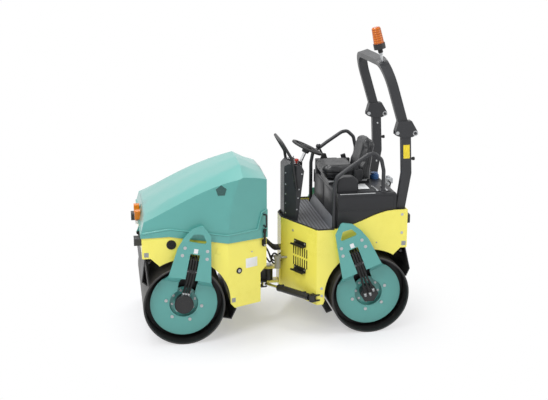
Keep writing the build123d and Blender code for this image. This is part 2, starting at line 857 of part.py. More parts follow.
with BuildPart() as steering_wheel:
    with BuildSketch(Plane(origin=wheel_centre, x_dir=wheel_plane.x_dir, z_dir=wheel_plane.y_dir)):
        with Locations((wheel_radius - wheel_rim, 0)):
            Circle(wheel_rim)
    revolve(axis=Axis(wheel_centre, wheel_axis))
    with BuildSketch(wheel_plane.offset(hub_proud)):
        Circle(hub_wide)
    extrude(amount=-(hub_deep - 1 + hub_proud), taper=14)
    fillet(steering_wheel.faces().sort_by(Axis.Z)[-1].edges(), radius=hub_proud / 2)
    with BuildSketch(wheel_plane.offset(-8)):
        with PolarLocations((wheel_radius - wheel_rim) / 2, 3, start_angle=90):
            Rectangle(wheel_radius - wheel_rim, 34)
    extrude(amount=12)
    with BuildSketch(wheel_plane.offset(-hub_deep)):
        Circle(stub_radius + turn_fit)
    extrude(amount=hub_deep + 9, mode=Mode.SUBTRACT)
finish(steering_wheel.part, "steering_wheel")

# Roll bar: posts on the rear deck, a hoop that folds back on their ears
post_bend = 1620.0
post_line = [
    (rear_x + 105, deck_z),
    (rear_x + 105, fender_z),
    (rear_x + 58, post_bend),
    (fold_x + 135, fold_z - 42),
    (fold_x + 190, fold_z - 20),
    (fold_x + 190, fold_z + fold_head),
    (fold_x, fold_z + fold_head),
    (fold_x, fold_z - fold_head),
    (fold_x + 39, fold_z - 42),
    (rear_x - 39, post_bend),
    (rear_x + 17, fender_z),
    (rear_x + 17, deck_z),
]
peg_z = 1760.0
with BuildPart() as rops_posts:
    for side in (-1, 1):
        with BuildSketch(Plane.XZ.offset(-side * post_y)):
            with BuildLine():
                Polyline(*post_line, close=True)
            make_face()
            with Locations((fold_x, fold_z)):
                Circle(fold_head)
        extrude(amount=post_wide / 2, both=True)
        with BuildSketch(Plane.XZ.offset(-side * post_y)):
            with Locations((fold_x, fold_z)):
                Circle(fold_pin)
        extrude(amount=post_wide / 2 + cheek_gap + cheek + 8, both=True)
        with BuildSketch(Plane.YZ.offset(rear_x)):
            with Locations((side * post_y, peg_z)):
                Circle(13)
        extrude(amount=fold_x - rear_x - 2)
finish(rops_posts.part, "rops_posts")

shoe_line = [(171, 123), (39, 123), (-26, 12), (-26, -14), (32, -38), (142, -38), (199, -12), (199, 20)]
hoop_up = Vector(sin(radians(hoop_lean)), 0, cos(radians(hoop_lean)))
hoop_back = Vector(0, 1, 0).cross(hoop_up)
hoop_plane = Plane(origin=(hoop_foot[0], 0, hoop_foot[1]), x_dir=(0, 1, 0), z_dir=hoop_back)
shoe_half = post_wide / 2 + cheek_gap
with BuildPart() as rops_hoop:
    with BuildSketch(hoop_plane):
        with Locations((0, hoop_rise / 2 - 200)):
            RectangleRounded(2 * post_y + post_wide, hoop_rise + 400, hoop_round)
        with Locations((0, hoop_rise / 2 - 200 - post_wide)):
            inner_round = hoop_round - post_wide
            RectangleRounded(2 * post_y - post_wide, hoop_rise + 400, inner_round, mode=Mode.SUBTRACT)
        with Locations((0, -500)):
            Rectangle(3 * post_y, 1000, mode=Mode.SUBTRACT)
    extrude(amount=post_deep / 2, both=True)
    for side in (-1, 1):
        with BuildSketch(Plane.XZ.offset(-side * post_y)):
            with BuildLine():
                Polyline(*[(fold_x + x, fold_z + z) for x, z in shoe_line], close=True)
            make_face()
        extrude(amount=shoe_half + cheek, both=True)
        with Locations((hoop_foot[0], side * post_y, fold_z + fold_head + 6)):
            Box(4 * post_deep, 2 * shoe_half, 2 * post_deep, align=(Align.CENTER, Align.CENTER, Align.MAX),
                mode=Mode.SUBTRACT)
        with BuildSketch(Plane.XZ.offset(-side * post_y)):
            with Locations((fold_x, fold_z)):
                Circle(fold_pin + turn_fit)
        extrude(amount=shoe_half + cheek, both=True, mode=Mode.SUBTRACT)
finish(rops_hoop.part, "rops_hoop")

# Beacon on the hoop's left shoulder
beacon_at = hoop_plane.from_local_coords((400, hoop_rise - 30, 0))
beacon_plane = Plane(origin=beacon_at, x_dir=(0, 1, 0), z_dir=(sin(radians(13)), 0, cos(radians(13))))
with BuildPart() as beacon_base:
    with BuildSketch(beacon_plane):
        Circle(13)
    extrude(amount=140)
    with BuildSketch(beacon_plane.offset(130)):
        Circle(58)
    extrude(amount=50)
    add(rops_hoop.part, mode=Mode.SUBTRACT)
finish(beacon_base.part.solids().sort_by(Axis.Z)[-1], "beacon_base")

with BuildPart() as beacon_lens:
    with BuildSketch(beacon_plane.offset(180)):
        Circle(52)
    extrude(amount=165, taper=3)
    fillet(beacon_lens.faces().sort_by(Axis.Z)[-1].edges(), radius=20)
finish(beacon_lens.part, "beacon_lens")

# Rear lamps
with BuildPart() as rear_lamps:
    for side in (-1, 1):
        with Locations((rear_x - 20, side * 520, 1150)):
            Box(40, 130, 90)
    fillet(rear_lamps.edges().filter_by(Axis.X), radius=14)
finish(rear_lamps.part, "rear_lamps")

# Scrapers: sheet arms with a blade just off each drum, two to a drum
blade_half = body_half - 2
blade = 10.0
blade_off = 7.0


def scraper(root, elbow, axle, angle):
    """A bent sheet from its root on the body by its elbow to the drum, met at this angle about the axle."""
    touch = drum_radius + blade_off + blade / 2
    tip = (axle + touch * cos(radians(angle)), drum_radius + touch * sin(radians(angle)))
    with BuildPart() as made:
        with BuildSketch(Plane.XZ):
            with BuildLine():
                Polyline(root, elbow, tip)
            trace(line_width=blade)
        extrude(amount=blade_half, both=True)
        with BuildSketch(Plane.XY.offset(root[1])):
            with Locations((root[0], 0)):
                Rectangle(4 * blade_half, 4 * blade_half)
        extrude(amount=drum_radius, mode=Mode.SUBTRACT)
    return made.part


arch_rear = front_axle - arch_radius
arch_front = rear_axle + arch_radius
finish(scraper((front_x - 26, front_sill), (front_axle + 400, 655), front_axle, 31), "front_scraper_fore")
finish(scraper((arch_rear - 51, front_low), (arch_rear - 2, 218), front_axle, 203), "front_scraper_aft")
finish(scraper((arch_front + 21, rear_low), (arch_front - 25, 218), rear_axle, -23), "rear_scraper_fore")
finish(scraper((rear_x + 15, rear_sill), (rear_axle - 414, 640), rear_axle, 157), "rear_scraper_aft")

# Steering joint: ears and pin on the rear nose, bearing block on the front body
pin_mid = (ear_low + ear_high) / 2
with BuildPart() as rear_link:
    with Locations((nose_x + 8, 0, pin_mid)):
        Box(16, 2 * nose_half - 20, ear_high - ear_low + 60)
    for z in (ear_low, ear_high - ear_thick):
        with BuildSketch(Plane.XY.offset(z)):
            Circle(king_eye)
            with Locations((nose_x / 2, 0)):
                Rectangle(-nose_x, 2 * king_eye)
        extrude(amount=ear_thick)
    with BuildSketch(Plane.XY.offset(ear_low - 12)):
        Circle(king_pin)
    extrude(amount=ear_high - ear_low + 24)
finish(rear_link.part, "rear_link")

eye_low = ear_low + ear_thick + 2
eye_top = ear_high - ear_thick - 2
lug_low = cylinder_z - eye_high / 2 - 0.5
lug_top = cylinder_z + eye_high / 2 + 0.5
with BuildPart() as front_link:
    with BuildSketch(Plane.XY.offset(eye_low)):
        Circle(king_eye - 4)
        with Locations((front_tail_low / 2, 0)):
            Rectangle(front_tail_low, 80)
    extrude(amount=eye_top - eye_low)
    with Locations((front_tail_low - 8, 25, pin_mid)):
        Box(16, 290, 210)
    for z in (lug_low - 14, lug_top):
        with BuildSketch(Plane.XY.offset(z)):
            with Locations(rod_pin):
                Circle(34)
            with Locations(((rod_pin[0] + front_tail_low) / 2, rod_pin[1])):
                Rectangle(front_tail_low - rod_pin[0], 68)
        extrude(amount=14)
    with BuildSketch(Plane.XY.offset(ear_low)):
        Circle(king_pin + turn_fit)
    extrude(amount=ear_high - ear_low, mode=Mode.SUBTRACT)
finish(front_link.part, "front_link")

# Steering cylinder: barrel on a lug of the rear body, rod to the front body's lugs
reach = (Vector(*rod_pin) - Vector(*barrel_pin)).length
cyl_dir = Vector(rod_pin[0] - barrel_pin[0], rod_pin[1] - barrel_pin[1], 0).normalized()
cyl_plane = Plane(origin=(barrel_pin[0], barrel_pin[1], cylinder_z), x_dir=(0, 0, 1), z_dir=cyl_dir)
barrel_end = reach - 200
with BuildPart() as barrel_lug:
    for z in (cylinder_z - eye_high / 2 - 1 - 14, cylinder_z + eye_high / 2 + 1):
        with BuildSketch(Plane.XY.offset(z)):
            with Locations(barrel_pin):
                Circle(34)
            lug_turn = degrees(atan2(nose_out.Y, nose_out.X))
            with Locations(Location((barrel_pin[0], barrel_pin[1], 0), lug_turn)):
                with Locations((-60, 0)):
                    Rectangle(120, 68)
        extrude(amount=14)
    with BuildSketch(Plane.XY.offset(cylinder_z - eye_high / 2 - 24)):
        with Locations(barrel_pin):
            Circle(15)
    extrude(amount=eye_high + 48)
    with BuildSketch(Plane.XY):
        with BuildLine():
            Polyline(*rear_plan(), close=True)
        make_face()
    extrude(amount=1000, mode=Mode.SUBTRACT)
finish(barrel_lug.part, "barrel_lug")

with BuildPart() as steer_barrel:
    with BuildSketch(Plane.XY.offset(cylinder_z - eye_high / 2)):
        with Locations(barrel_pin):
            Circle(32)
    extrude(amount=eye_high)
    with BuildSketch(cyl_plane):
        Circle(eye_high / 2 - 2)
    extrude(amount=60)
    with BuildSketch(cyl_plane.offset(42)):
        Circle(barrel_radius)
    extrude(amount=barrel_end - 42)
    with BuildSketch(cyl_plane.offset(100)):
        Circle(rod_radius + turn_fit)
    extrude(amount=barrel_end, mode=Mode.SUBTRACT)
    with BuildSketch(Plane.XY):
        with Locations(barrel_pin):
            Circle(15 + turn_fit)
    extrude(amount=1000, mode=Mode.SUBTRACT)
finish(steer_barrel.part, "steer_barrel")

with BuildPart() as steer_rod:
    with BuildSketch(cyl_plane.offset(reach - 380)):
        Circle(rod_radius)
    extrude(amount=360)
    with BuildSketch(Plane.XY.offset(cylinder_z - eye_high / 2)):
        with Locations(rod_pin):
            Circle(31)
    extrude(amount=eye_high)
finish(steer_rod.part, "steer_rod")

# Hydraulic hoses across the steering joint
with BuildPart() as link_hoses:
    for y in (-60, -20, 20, 60):
        add(bar([(front_tail, y, 820), (10, y, 820), (-50, y, 735), (nose_x, y, 735)], 30, 26))
finish(link_hoses.part, "link_hoses")
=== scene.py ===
import json
import math

import bpy
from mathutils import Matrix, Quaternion, Vector

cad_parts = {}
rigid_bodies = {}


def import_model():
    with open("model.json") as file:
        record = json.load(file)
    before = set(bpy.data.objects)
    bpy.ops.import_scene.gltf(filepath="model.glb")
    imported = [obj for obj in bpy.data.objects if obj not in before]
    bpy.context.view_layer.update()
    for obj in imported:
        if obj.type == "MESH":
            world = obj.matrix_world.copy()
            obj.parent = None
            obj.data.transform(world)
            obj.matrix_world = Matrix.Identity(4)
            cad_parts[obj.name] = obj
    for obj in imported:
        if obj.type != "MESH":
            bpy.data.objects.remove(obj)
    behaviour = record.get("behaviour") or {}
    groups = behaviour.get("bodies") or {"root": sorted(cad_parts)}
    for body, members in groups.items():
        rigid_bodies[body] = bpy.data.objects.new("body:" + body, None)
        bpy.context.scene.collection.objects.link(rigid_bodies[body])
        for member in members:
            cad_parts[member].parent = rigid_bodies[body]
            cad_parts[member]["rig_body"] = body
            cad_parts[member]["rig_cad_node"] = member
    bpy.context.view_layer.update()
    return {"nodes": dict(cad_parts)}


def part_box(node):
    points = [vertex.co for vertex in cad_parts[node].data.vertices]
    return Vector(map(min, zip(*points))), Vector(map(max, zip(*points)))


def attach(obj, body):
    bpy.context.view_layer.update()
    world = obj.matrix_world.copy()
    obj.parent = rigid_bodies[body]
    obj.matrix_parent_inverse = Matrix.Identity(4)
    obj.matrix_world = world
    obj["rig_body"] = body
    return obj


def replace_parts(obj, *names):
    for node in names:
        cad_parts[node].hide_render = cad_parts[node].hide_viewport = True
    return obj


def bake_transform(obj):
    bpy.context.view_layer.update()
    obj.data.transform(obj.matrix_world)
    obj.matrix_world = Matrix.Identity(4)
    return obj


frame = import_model()
nodes = frame["nodes"]

# The studio: a pale seamless floor under large soft lamps, with the camera where the photographer stood.
# Floor and surround show plain white to the lens and to glossy paint, and the floor keeps the contact shadow.
scene = bpy.context.scene
scene.view_settings.view_transform = "Standard"
eye = Vector((1.598, 9.875, 3.965))
aim = Vector((-0.066, 0.0, 1.246))
camera = bpy.data.objects.new("camera", bpy.data.cameras.new("camera"))
camera.data.sensor_width = 36.0
camera.data.lens = 65.9
camera.location = eye
camera.rotation_euler = (aim - eye).to_track_quat("-Z", "Y").to_euler()
bpy.context.collection.objects.link(camera)
scene.camera = camera


class Wire:
    """A socket among shader nodes: arithmetic adds Math nodes, node() adds any other kind."""

    def __init__(self, tree, socket=None):
        self.tree = tree
        self.socket = socket

    def node(self, kind, settings=None, sockets=None, out=0):
        made = self.tree.nodes.new("ShaderNode" + kind)
        for key, value in (settings or {}).items():
            setattr(made, key, value)
        for key, value in (sockets or {}).items():
            if isinstance(value, Wire):
                self.tree.links.new(value.socket, made.inputs[key])
            else:
                made.inputs[key].default_value = value
        return Wire(self.tree, made.outputs[out] if made.outputs else None)

    def other(self, name):
        return Wire(self.tree, self.socket.node.outputs[name])

    def maths(self, operation, first, second=0.0):
        return self.node("Math", {"operation": operation}, {0: first, 1: second})

    def __add__(self, other):
        return self.maths("ADD", self, other)

    def __radd__(self, other):
        return self.maths("ADD", other, self)

    def __sub__(self, other):
        return self.maths("SUBTRACT", self, other)

    def __rsub__(self, other):
        return self.maths("SUBTRACT", other, self)

    def __mul__(self, other):
        return self.maths("MULTIPLY", self, other)

    def __rmul__(self, other):
        return self.maths("MULTIPLY", other, self)

    def __gt__(self, other):
        return self.maths("GREATER_THAN", self, other)

    def __lt__(self, other):
        return self.maths("LESS_THAN", self, other)


def blank(name):
    """An empty material and the Wire that its nodes start from."""
    made = bpy.data.materials.new(name)
    made.use_nodes = True
    made.node_tree.nodes.clear()
    return made, Wire(made.node_tree)


world = bpy.data.worlds.new("studio")
world.use_nodes = True
world.node_tree.nodes.clear()
net = Wire(world.node_tree)
path = net.node("LightPath")
seen = path + path.other("Is Glossy Ray") + path.other("Is Transmission Ray")
level = net.node("MapRange", None, {"Value": seen, "To Min": 0.45, "To Max": 1.0})
glow = net.node("Background", None, {"Color": (1.0, 1.0, 1.0, 1.0), "Strength": level})
net.node("OutputWorld", None, {"Surface": glow})
scene.world = world


def soft_box(name, place, wide, deep, power):
    """One large soft lamp aimed at the machine."""
    lamp = bpy.data.objects.new(name, bpy.data.lights.new(name, "AREA"))
    lamp.data.shape = "RECTANGLE"
    lamp.data.size = wide
    lamp.data.size_y = deep
    lamp.data.energy = power
    lamp.location = place
    lamp.rotation_euler = (Vector((0.0, 0.0, 1.0)) - Vector(place)).to_track_quat("-Z", "Y").to_euler()
    bpy.context.collection.objects.link(lamp)


soft_box("key", (4.5, 6.0, 7.5), 5.0, 5.0, 420.0)
soft_box("top", (1.2, -1.3, 7.6), 5.5, 1.3, 300.0)
soft_box("rim", (-6.0, 3.0, 5.0), 4.0, 4.0, 120.0)


def alone():
    """Deselect everything, so that the next operator works only on what it adds."""
    bpy.ops.object.select_all(action="DESELECT")


alone()
bpy.ops.mesh.primitive_plane_add(size=80.0)
floor = bpy.context.object
floor.name = "floor"
floor_look, net = blank("studio_floor")
path = net.node("LightPath")
reach = net.node("VectorMath", {"operation": "LENGTH"}, {0: net.node("TexCoord", out=3)}, out=1)
fade = net.node("MapRange", {"interpolation_type": "SMOOTHSTEP"},
                {"Value": reach, "From Min": 0.5, "From Max": 2.3, "To Min": 0.35, "To Max": 1.0})
pale = net.node("BsdfDiffuse", None, {"Color": (0.90, 0.905, 0.95, 1.0)})
white = net.node("Emission", None, {"Color": (1.0, 1.0, 1.0, 1.0), "Strength": 1.0})
shown = net.maths("MAXIMUM", path * fade, path.other("Is Glossy Ray"))
lit = net.node("MixShader", None, {0: shown, 1: pale, 2: white})
net.node("OutputMaterial", None, {"Surface": lit})
floor.data.materials.append(floor_look)


# Drums: rolled and welded steel shells on two webs, painted black inside.
# The road keeps the rolling face bare, ground to a dull grey with streaks round the drum.
def shade(net, **sockets):
    """End a material: each word is a socket of the Principled shader, with spaces as underscores."""
    named = {key.replace("_", " "): value for key, value in sockets.items()}
    shader = net.node("BsdfPrincipled", None, named)
    net.node("OutputMaterial", None, {"Surface": shader})


def tint(net, share, low, high):
    """A colour between two, by a share."""
    return net.node("Mix", {"data_type": "RGBA"}, {0: share, 6: (*low, 1.0), 7: (*high, 1.0)}, out=2)


def dress(material, *names):
    """Give CAD nodes a finish."""
    for name in names:
        nodes[name].data.materials.clear()
        nodes[name].data.materials.append(material)


axle_reach = 0.934
axle_height = 0.4
bare_from = 0.3975
for name, axle in (("front_drum", axle_reach), ("rear_drum", -axle_reach)):
    drum_steel, net = blank(name + "_steel")
    place = net.node("TexCoord", out=3)
    from_axle = net.node("VectorMath", {"operation": "SUBTRACT"}, {0: place, 1: (axle, 0.0, axle_height)})
    across = net.node("VectorMath", {"operation": "MULTIPLY"}, {0: from_axle, 1: (1.0, 0.0, 1.0)})
    radius = net.node("VectorMath", {"operation": "LENGTH"}, {0: across}, out=1)
    bare = radius > bare_from
    drawn = net.node("Mapping", None, {"Vector": place, "Scale": (1.5, 90.0, 1.5)})
    streak = net.node("TexNoise", None, {"Vector": drawn, "Scale": 3.0, "Detail": 5.0})
    scuff = net.node("TexNoise", None, {"Vector": place, "Scale": 7.0, "Detail": 8.0, "Roughness": 0.65})
    worn = tint(net, scuff, (0.028, 0.027, 0.026), (0.105, 0.10, 0.092))
    inside = tint(net, scuff, (0.010, 0.010, 0.010), (0.026, 0.026, 0.026))
    tone = net.node("Mix", {"data_type": "RGBA"}, {0: bare, 6: inside, 7: worn}, out=2)
    gloss = net.node("MapRange", None, {"Value": streak * 0.6 + scuff * 0.4, "To Min": 0.28, "To Max": 0.62})
    relief = net.node("Bump", None, {"Height": streak * bare + scuff * 0.4, "Strength": 0.25,
                                     "Distance": 0.0008})
    shade(net, Base_Color=tone, Metallic=bare * 0.45, Roughness=gloss, Normal=relief)
    dress(drum_steel, name)


# Side forks: profiled steel plate, pressed in to a disc round the drum motor, in satin teal paint.
# Four flange bolts hold each head to the body, and four button bolts stand on each disc.
def painted(name, colour, roughness, grain, depth, mottle=0.06, spread=0.08, **fixed):
    """A painted or moulded finish: slight mottle in tone and gloss, and a fine grain in relief."""
    made, net = blank(name)
    place = net.node("TexCoord", out=3)
    cloud = net.node("TexNoise", None, {"Vector": place, "Scale": 3.5, "Detail": 6.0, "Roughness": 0.6})
    fine = net.node("TexNoise", None, {"Vector": place, "Scale": grain, "Detail": 3.0})
    low = [channel * (1.0 - mottle) for channel in colour]
    high = [min(channel * (1.0 + mottle), 1.0) for channel in colour]
    gloss = net.node("MapRange", None, {"Value": cloud * 0.6 + fine * 0.4, "From Min": 0.3, "From Max": 0.7,
                                        "To Min": roughness - spread, "To Max": roughness + spread})
    relief = net.node("Bump", None, {"Height": fine, "Strength": 0.35, "Distance": depth})
    shade(net, Base_Color=tint(net, cloud, low, high), Roughness=gloss, Normal=relief, **fixed)
    return made


def take(piece):
    """Make one piece the only one selected, and the active one."""
    alone()
    piece.select_set(True)
    bpy.context.view_layer.objects.active = piece


def soften(piece, width, steps=2):
    """Round a piece's sharp edges and smooth its shading."""
    take(piece)
    edge = piece.modifiers.new("rounded", "BEVEL")
    edge.width = width
    edge.segments = steps
    edge.limit_method = "ANGLE"
    bpy.ops.object.modifier_apply(modifier=edge.name)
    bpy.ops.object.shade_smooth_by_angle(angle=math.radians(35.0))
    return piece


def turned(facing, spin=0.0):
    """The turn that brings a piece's own Z to face a way, spun about it."""
    return (Vector(facing).to_track_quat("Z", "Y") @ Quaternion((0.0, 0.0, 1.0), spin)).to_euler()


def slab(place, size, facing=(0.0, 0.0, 1.0), spin=0.0):
    """Start a plate or block of a size, its thickness facing a way."""
    alone()
    bpy.ops.mesh.primitive_cube_add(size=1.0, location=place)
    block = bpy.context.object
    block.scale = size
    bpy.ops.object.transform_apply(location=False, rotation=False, scale=True)
    block.rotation_euler = turned(facing, spin)
    return block


def rod(place, radius, length, facing=(0.0, 0.0, 1.0), sides=32):
    """Start a round piece that stands on a place and faces a way."""
    alone()
    rise = Vector(facing).normalized() * length / 2
    bpy.ops.mesh.primitive_cylinder_add(vertices=sides, radius=radius, depth=length,
                                        location=Vector(place) + rise)
    bpy.context.object.rotation_euler = turned(facing)
    return bpy.context.object


def joined(*pieces):
    """Join pieces into one."""
    alone()
    for piece in pieces:
        piece.select_set(True)
    bpy.context.view_layer.objects.active = pieces[0]
    bpy.ops.object.join()
    return bpy.context.object


def copies(pattern, spots):
    """Set copies of a pattern, each with its own mesh, at a place and facing a way, and join them."""
    take(pattern)
    bpy.ops.object.transform_apply(location=True, rotation=True, scale=True)
    made = []
    for place, facing in spots:
        take(pattern)
        bpy.ops.object.duplicate()
        copy = bpy.context.object
        copy.location = place
        copy.rotation_euler = turned(facing)
        made.append(copy)
    bpy.data.objects.remove(pattern)
    return joined(*made)


def fit(piece, name, body, material):
    """Name a finished piece, put its place into its mesh, and let it ride on a body in its finish."""
    take(piece)
    bpy.ops.object.transform_apply(location=True, rotation=True, scale=True)
    piece.name = name
    piece.data.materials.clear()
    piece.data.materials.append(material)
    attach(piece, body)
    return piece


def face_in(piece, steps):
    """Work the face on a piece's own Z side: each step insets it and then moves it out or in."""
    take(piece)
    bpy.ops.object.mode_set(mode="EDIT")
    bpy.ops.mesh.select_mode(type="FACE")
    bpy.ops.mesh.select_all(action="DESELECT")
    bpy.ops.object.mode_set(mode="OBJECT")
    top = max(face.center.z for face in piece.data.polygons)
    for face in piece.data.polygons:
        face.select = face.normal.z > 0.9 and face.center.z > top - 1e-4
    bpy.ops.object.mode_set(mode="EDIT")
    for inset, rise in steps:
        bpy.ops.mesh.inset(thickness=inset)
        if rise:
            bpy.ops.mesh.extrude_region_shrink_fatten(TRANSFORM_OT_shrink_fatten={"value": rise})
    bpy.ops.object.mode_set(mode="OBJECT")
    return piece


def flange_bolt(size):
    """A six-sided bolt head on its washer flange, standing on the ground plane."""
    flange = rod((0.0, 0.0, 0.0), size, size * 0.16)
    head = rod((0.0, 0.0, size * 0.12), size * 0.66, size * 0.3, sides=6)
    face_in(head, [(size * 0.16, -size * 0.04)])
    return soften(joined(flange, head), size * 0.05)


def button_bolt(size):
    """A low domed bolt head with a socket, standing on the ground plane."""
    head = rod((0.0, 0.0, 0.0), size, size * 0.55)
    face_in(head, [(size * 0.3, size * 0.16), (size * 0.28, -size * 0.2)])
    return soften(head, size * 0.1)


front_lean = math.radians(12.0)
rear_lean = math.radians(21.0)


def fork_spot(end, u, v, y):
    """A point on a fork's own lines: u towards the machine's end, v up the fork from the axle."""
    lean = front_lean if end > 0 else rear_lean
    x = u * math.cos(lean) - v * math.sin(lean)
    return Vector((end * (axle_reach + x), y, axle_height + u * math.sin(lean) + v * math.cos(lean)))


def ring_spot(end, side, radius, angle, face):
    """A bolt's place and facing on a ring about the axle."""
    turn = math.radians(angle)
    return fork_spot(end, radius * math.cos(turn), radius * math.sin(turn), side * face), (0.0, side, 0.0)


teal = painted("teal_paint", (0.098, 0.365, 0.33), 0.34, 700.0, 0.0004, Coat_Weight=0.4, Coat_Roughness=0.1)
zinc = painted("zinc_plate", (0.50, 0.51, 0.52), 0.36, 500.0, 0.0003, mottle=0.12, Metallic=0.85)
label_white = painted("plate_white", (0.80, 0.81, 0.82), 0.4, 300.0, 0.0002)
dress(teal, "front_fork_left", "front_fork_right", "rear_fork_left", "rear_fork_right")
head_face = 0.716
disc_ring, disc_face = 0.178, 0.598
cup_ring, cup_face = 0.116, 0.544
fork_bolt = 0.0165
ends = ((1, "front", "front_frame", -front_lean), (-1, "rear", "rear_frame", rear_lean))
for end, word, body, lean in ends:
    head_spots = []
    disc_spots = []
    cup_spots = []
    for side in (1, -1):
        for u, v in ((0.110, 0.595), (-0.110, 0.595), (0.121, 0.517), (-0.121, 0.517)):
            head_spots.append((fork_spot(end, u, v, side * head_face), (0.0, side, 0.0)))
        for angle in (0.0, 180.0, -60.0, -120.0):
            disc_spots.append(ring_spot(end, side, disc_ring, angle, disc_face))
        for count in range(8):
            cup_spots.append(ring_spot(end, side, cup_ring, 22.5 + 45.0 * count, cup_face))
    fit(copies(flange_bolt(fork_bolt), head_spots), word + "_fork_bolts", body, zinc)
    fit(copies(button_bolt(fork_bolt), disc_spots), word + "_disc_bolts", body, zinc)
    fit(copies(flange_bolt(0.013), cup_spots), word + "_motor_bolts", body, zinc)
    plate = slab(fork_spot(end, 0.0, 0.578, 0.7163), (0.04, 0.046, 0.0015), (0.0, 1.0, 0.0), lean)
    fit(soften(plate, 0.0005), word + "_fork_plate", body, label_white)

# Drum motors: cast hydraulic motors in black paint, with a turned round cap on the front drum's motors and a
# six-sided one on the rear drum's. Three rubber hoses a motor come out of the body and down the fork's slot,
# under a bolted clamp, to crimped ends.
black = painted("black_paint", (0.013, 0.013, 0.014), 0.42, 500.0, 0.0005, mottle=0.2)
rubber = painted("rubber", (0.011, 0.011, 0.011), 0.55, 260.0, 0.0006, mottle=0.2, Specular_IOR_Level=0.35)
dress(black, "front_motors", "rear_motors")


def tube(route, radius, sides=3):
    """A hose or bent bar on one smooth line led by its points, made a mesh."""
    line = bpy.data.curves.new("line", "CURVE")
    line.dimensions = "3D"
    line.bevel_depth = radius
    line.bevel_resolution = sides
    line.resolution_u = 10
    line.use_fill_caps = True
    run = line.splines.new("NURBS")
    run.points.add(len(route) - 1)
    for point, spot in zip(run.points, route):
        point.co = (*spot, 1.0)
    run.order_u = 3
    run.use_endpoint_u = True
    piece = bpy.data.objects.new("line", line)
    bpy.context.collection.objects.link(piece)
    take(piece)
    bpy.ops.object.convert(target="MESH")
    bpy.ops.object.mode_set(mode="EDIT")
    bpy.ops.mesh.select_all(action="SELECT")
    bpy.ops.mesh.remove_doubles(threshold=0.00002)
    bpy.ops.mesh.normals_make_consistent(inside=False)
    bpy.ops.object.mode_set(mode="OBJECT")
    bpy.ops.object.shade_smooth_by_angle(angle=math.radians(40.0))
    return piece


def ferrule():
    """A crimped hose end with its nut, running up from the ground plane."""
    sleeve = rod((0.0, 0.0, 0.0), 0.0145, 0.024, sides=20)
    face_in(sleeve, [(0.003, 0.006)])
    nut = rod((0.0, 0.0, -0.014), 0.0155, 0.013, sides=6)
    return soften(joined(sleeve, nut), 0.0012)


slot_run = [(0.0, 0.50, 0.632), (0.0, 0.50, 0.672), (0.0, 0.485, 0.706), (0.0, 0.42, 0.7115),
            (0.0, 0.32, 0.7115)]
front_run = slot_run + [(0.0, 0.25, 0.70), (0.0, 0.19, 0.655), (0.0, 0.14, 0.633), (0.0, 0.095, 0.622)]
rear_run = slot_run + [(0.0, 0.24, 0.707), (0.35, 0.16, 0.70), (0.9, 0.06, 0.69), (1.0, 0.015, 0.668)]
clamp_rise = 0.37
ports = {-0.026: (-0.046, 0.0), 0.0: (0.004, -0.012), 0.026: (0.048, 0.018)}
for end, word, body, lean in ends:
    hoses = []
    tips = []
    clamps = []
    clamp_bolts = []
    for side in (1, -1):
        for lane, (port_u, port_v) in ports.items():
            route = []
            for share, v, y in front_run if end > 0 else rear_run:
                u = lane + share * (port_u - lane)
                route.append(fork_spot(end, u, v + share * port_v, side * y))
            hoses.append(tube(route, 0.0115))
            tips.append((route[-1], route[-2] - route[-1]))
        clamps.append(slab(fork_spot(end, 0.0, clamp_rise, side * 0.713), (0.094, 0.034, 0.018),
                           (0.0, side, 0.0), side * lean))
        for u in (-0.04, 0.04):
            clamp_bolts.append((fork_spot(end, u, clamp_rise, side * 0.719), (0.0, side, 0.0)))
    bundle = fit(joined(*hoses), word + "_motor_hoses", body, rubber)
    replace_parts(bundle, word + "_hoses")
    fit(copies(ferrule(), tips), word + "_hose_ends", body, zinc)
    fit(soften(joined(*clamps), 0.004), word + "_hose_clamps", body, black)
    fit(copies(flange_bolt(0.0075), clamp_bolts), word + "_clamp_bolts", body, zinc)


def cap_spots(end):
    """The places of the caps on a drum's two motors, each facing out."""
    return [((end * axle_reach, side * 0.65, axle_height), (0.0, side, 0.0)) for side in (1, -1)]


rings = rod((0.0, 0.0, 0.0), 0.086, 0.003, sides=48)
face_in(rings, [(0.008, -0.002), (0.016, 0.002), (0.018, -0.0015), (0.020, 0.0015), (0.016, -0.002)])
rings = copies(soften(rings, 0.0005, 1), cap_spots(1))
fit(rings, "front_motor_caps", "front_frame", black)
plate = rod((0.0, 0.0, 0.0), 0.078, 0.004, sides=6)
face_in(plate, [(0.007, -0.002)])
plate = copies(soften(plate, 0.0008), cap_spots(-1))
fit(plate, "rear_motor_plates", "rear_frame", black)

# Front body: welded steel plate in yellow gloss paint, open on top for the engine.
# It carries a hand-hole with a black plug, a barrel lock, a blank plate and small blank tags.
yellow = painted("yellow_paint", (0.92, 0.83, 0.135), 0.3, 700.0, 0.0004, mottle=0.03, Coat_Weight=0.3,
                 Coat_Roughness=0.12)
dress(yellow, "front_chassis")
side_face = 0.628


def tail_ways(side):
    """The ways out of the body's tapered tail and along it, on one side."""
    return Vector((-0.4275, side * 0.904, 0.0)), Vector((0.904, side * 0.4275, 0.0))


